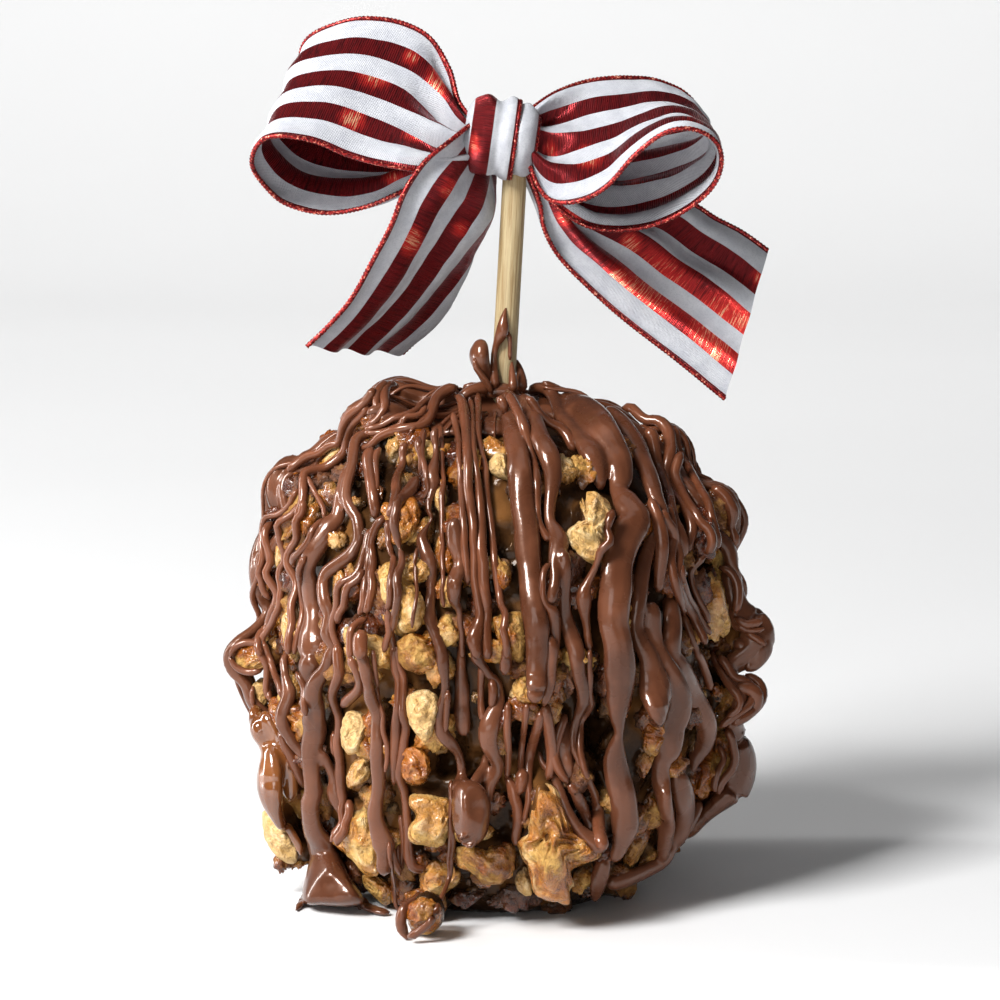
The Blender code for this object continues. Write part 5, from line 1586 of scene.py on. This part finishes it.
def makeChocolateFinish(name, deep, light):
    f = Finish(name, {"IOR": 1.42, "Specular Tint": (0.85, 0.55, 0.42), "Coat Roughness": 0.10,
                      "Coat IOR": 1.5})
    place = f.place()
    broad = f.cloud(place, 38, 3, 0.5)
    soft = f.cloud(place, 170, 3, 0.5)
    fine = f.cloud(place, 1500, 3, 0.6)
    base = f.mix(f.between(broad, 0.38, 0.66), deep, light)
    base = f.mix(f.between(soft, 0.5, 0.72) * 0.35, base, tuple(min(1, c * 1.35) for c in light))
    rough = f.between(soft, 0.3, 0.7, 0.24, 0.36)
    normal = f.bump(fine, 0.10, 0.0002, f.bump(soft, 0.12, 0.0012))
    f.feed(f.shader, {"Base Color": base, "Roughness": rough, "Coat Weight": 0.55, "Normal": normal})
    return f.material


def makeRunFinish():
    f = Finish("milkCaramel", {"IOR": 1.5, "Coat Roughness": 0.05, "Coat IOR": 1.65})
    place = f.place()
    blend = f.cloud(place, 70, 3, 0.5)
    base = f.mix(f.between(blend, 0.35, 0.65), (0.13, 0.038, 0.009), (0.26, 0.090, 0.024))
    normal = f.bump(f.cloud(place, 260, 2), 0.12, 0.0012)
    rough = f.between(blend, 0.3, 0.7, 0.14, 0.26)
    f.feed(f.shader, {"Base Color": base, "Roughness": rough, "Coat Weight": 0.9, "Normal": normal})
    return f.material


def makeWoodFinish():
    f = Finish("paleWood", {"IOR": 1.45})
    place = f.add("Mapping", {"vector_type": "POINT"},
                  {"Vector": f.place(), "Rotation": (0, math.radians(-3.2), 0)})
    stretched = f.add("VectorMath", {"operation": "MULTIPLY"}, {0: place, 1: (1, 1, 0.035)})
    grain = f.cloud(stretched, 1500, 5, 0.65, 0.5)
    broad = f.cloud(stretched, 420, 3, 0.5)
    pores = f.cloud(stretched, 3800, 3, 0.6)
    base = f.mix(f.between(grain, 0.36, 0.64), (0.28, 0.19, 0.085), (0.43, 0.34, 0.190))
    base = f.mix(f.between(broad, 0.55, 0.75) * 0.5, base, (0.36, 0.235, 0.10))
    base = f.mix(f.between(pores, 0.60, 0.70) * 0.5, base, (0.27, 0.15, 0.06))
    normal = f.bump(grain * 0.6 + pores * 0.4, 0.45, 0.0004)
    rough = f.between(grain, 0.3, 0.7, 0.48, 0.66)
    f.feed(f.shader, {"Base Color": base, "Roughness": rough, "Normal": normal})
    return f.material


def ribbonCoordinates(f):
    uv = f.add("UVMap", {"uv_map": "UVMap"})
    u = f.add("SeparateXYZ", {}, {"Vector": uv}, 0)
    v = f.add("SeparateXYZ", {}, {"Vector": uv}, 1)
    return u * ribbon["unwrapped"], v * ribbon["width"]  # mm along, mm across


def makeRibbonFinish():
    f = Finish("stripedRibbon", {"IOR": 1.45, "Coat Roughness": 0.3})
    along, across = ribbonCoordinates(f)
    stripe = (across - 1.0) / 5.143  # mm that each of the seven is wide
    turn = f.add("Math", {"operation": "MODULO"}, {0: stripe, 1: 2})  # 0..1 white, 1..2 red
    red = f.between(turn, 0.985, 1.015) * (1 - f.between(turn, 1.985, 2.0))
    edge = 1 - f.between(across, 0.9, 1.0) * (1 - f.between(across, 37.0, 37.1))
    red = f.add("Math", {"operation": "MAXIMUM"}, {0: red, 1: edge})
    place = f.place()
    streakPlace = f.add("CombineXYZ", {}, {"X": along * 1.6, "Y": across * 0.16, "Z": 0.0})
    streak = f.cloud(streakPlace, 1.1, 4, 0.7)
    paintedSheen = f.cloud(place, 120, 3, 0.5)
    satinAndPaintedGlints = f.mix(f.between(streak, 0.30, 0.62), (0.056, 0.005, 0.007), (0.235, 0.014, 0.017))
    # painted highlights: the red stripes turn bright red, then salmon, where the painted glints lie; the
    # streaks under them are the threads' own colour
    shine = f.attribute("shine") + (paintedSheen - 0.5) * 0.3
    satinAndPaintedGlints = f.mix(f.between(shine + (streak - 0.5) * 1.2, 0.25, 0.85), satinAndPaintedGlints, (0.66, 0.030, 0.026))
    satinAndPaintedGlints = f.mix(f.between(shine + (streak - 0.5) * 3.2, 0.85, 1.25), satinAndPaintedGlints, (1.0, 0.46, 0.27))
    whiteNoise = f.cloud(place, 260, 3, 0.6)
    white = f.mix(f.between(whiteNoise, 0.3, 0.7), (0.45, 0.46, 0.50), (0.55, 0.56, 0.59))
    threads = f.cloud(place, 2600, 2, 0.5)
    white = f.mix(f.between(threads, 0.5, 0.64) * 0.3, white, (0.33, 0.34, 0.38))
    wave = f.add("Math", {"operation": "SINE"}, {0: along * (2 * math.pi / 0.5)})
    weft = f.add("Math", {"operation": "SINE"}, {0: across * (2 * math.pi / 0.55)})
    weave = wave * weft
    ribs = wave * red + weave * (1 - red)
    base = f.mix(red, white, satinAndPaintedGlints)
    rough = red * f.between(streak, 0.3, 0.7, 0.42, 0.26) + (1 - red) * 0.8
    normal = f.bump(ribs, 0.6, 0.00014, f.bump(streak, 0.25, 0.0003))
    f.feed(f.shader, {"Base Color": base, "Roughness": rough, "Metallic": red * 0.72, "Normal": normal})
    return f.material


def makeRopeFinish():
    f = Finish("redGlitterThread", {"IOR": 1.45, "Metallic": 0.6, "Roughness": 0.34})
    place = f.place()
    glitterAndPaintedGlint = f.cloud(place, 1800, 2, 0.6)
    base = f.mix(f.between(glitterAndPaintedGlint, 0.4, 0.6), (0.09, 0.004, 0.006), (0.42, 0.020, 0.018))
    # painted glints: the brightest glitter specks are painted salmon as if catching the light; the dark to
    # red specks are the thread's own glitter
    base = f.mix(f.between(glitterAndPaintedGlint, 0.60, 0.68), base, (0.95, 0.42, 0.28))
    f.feed(f.shader, {"Base Color": base, "Normal": f.bump(glitterAndPaintedGlint, 0.4, 0.0003)})
    return f.material


def dress(obj, material):
    obj.data.materials.clear()
    obj.data.materials.append(material)


def smoothShade(*objs):
    pick(*objs)
    bpy.ops.object.shade_smooth()


chocolateLook = makeChocolateFinish("milkChocolate", (0.068, 0.0212, 0.0092), (0.125, 0.043, 0.0205))
thinLook = makeChocolateFinish("reddishChocolate", (0.082, 0.0245, 0.0100), (0.150, 0.049, 0.0225))
walnutLook = makeWalnutFinish()
ribbonLook = makeRibbonFinish()
ropeLook = makeRopeFinish()
dress(core, makeCaramelFinish())
dress(caramelRun, makeRunFinish())
for piece in nutPieces:
    dress(piece, walnutLook)
for piece in flows:
    dress(piece, chocolateLook)
dress(strands, thinLook)
dress(stickNode, makeWoodFinish())
smoothShade(core, caramelRun, *flows, strands, *nutPieces)
for name, strip in sheets.items():
    dress(strip, ribbonLook)
    for rope in ropes[name]:
        dress(rope, ropeLook)

# What stands for what
coating = [core, caramelRun, strands, *flows, *nutPieces]
for piece in coating:
    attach(piece, "root")
    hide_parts("coated_apple")
for name, strip in sheets.items():
    for piece in (strip, *ropes[name]):
        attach(piece, "root")
        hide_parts("ribbon_bow")
    "folded" if name == "knotWrap" else "gathered"
    ["stick"] if name == "knotWrap" else ["knotWrap"]

# Floor and lights
deselectAll()
bpy.ops.mesh.primitive_grid_add(x_subdivisions=2, y_subdivisions=60, size=6)
floor = bpy.context.object
floor.name = "paleFloor"
bend = {"start": 1.5, "radius": 1.3}  # metres
points = pointsOf(floor)
for i, (x, y, z) in enumerate(points):  # the floor rises behind in one sweep
    past = y - bend["start"]
    if past > 0:
        turn = min(past / bend["radius"], math.pi / 2)
        rest = past - turn * bend["radius"]
        back = bend["start"] + bend["radius"] * math.sin(turn)
        points[i] = (x, back, bend["radius"] * (1 - math.cos(turn)) + rest)
setPoints(floor, points)
smoothShade(floor)
floorLook = Finish("paleFloor", {"Roughness": 0.6})
tint = floorLook.mix(floorLook.cloud(floorLook.place(), 3, 2), (0.80, 0.80, 0.80), (0.84, 0.84, 0.84))
floorLook.feed(floorLook.shader, {"Base Color": tint})
dress(floor, floorLook.material)


lights = {  # azimuth, elevation, metres away, size, watts
    "keyLight": (-43, 39, 2.2, (0.7, 0.7), 88),
    "edgeLight": (-98, 16, 0.8, (0.07, 0.7), 5),
    "frontLight": (-12, 10, 2.5, (1.4, 0.7), 9.5),
    "topLight": (20, 84, 1.2, (0.9, 0.6), 1.2),
    "backdropWash": (180, 45, 1, (2.6, 0.6), 34),
}


def addLight(name, azimuth, elevation, distance, size, power):
    way = aim(azimuth, 90 - elevation)
    spot = Vector((0, 0, 0.09)) + way * distance
    bpy.ops.object.light_add(type="AREA", location=spot)
    lamp = bpy.context.object
    lamp.name = name
    lamp.rotation_euler = (-way).to_track_quat("-Z", "Y").to_euler()
    lamp.data.shape = "RECTANGLE"
    lamp.data.size, lamp.data.size_y = size
    lamp.data.energy = power


for name, values in lights.items():
    addLight(name, *values)
wash = bpy.data.objects["backdropWash"]
wash.location = (0, 0.85, 1.6)  # hangs behind the object and lights the rising floor
wash.rotation_euler = Vector((0, -0.93, 0.37)).to_track_quat("Z", "Y").to_euler()
world = bpy.data.worlds.new("paleRoom")
bpy.context.scene.world = world
world.use_nodes = True
world.node_tree.nodes["Background"].inputs["Color"].default_value = (0.95, 0.97, 1, 1)
world.node_tree.nodes["Background"].inputs["Strength"].default_value = 0.06
bpy.context.scene.view_settings.view_transform = "Standard"
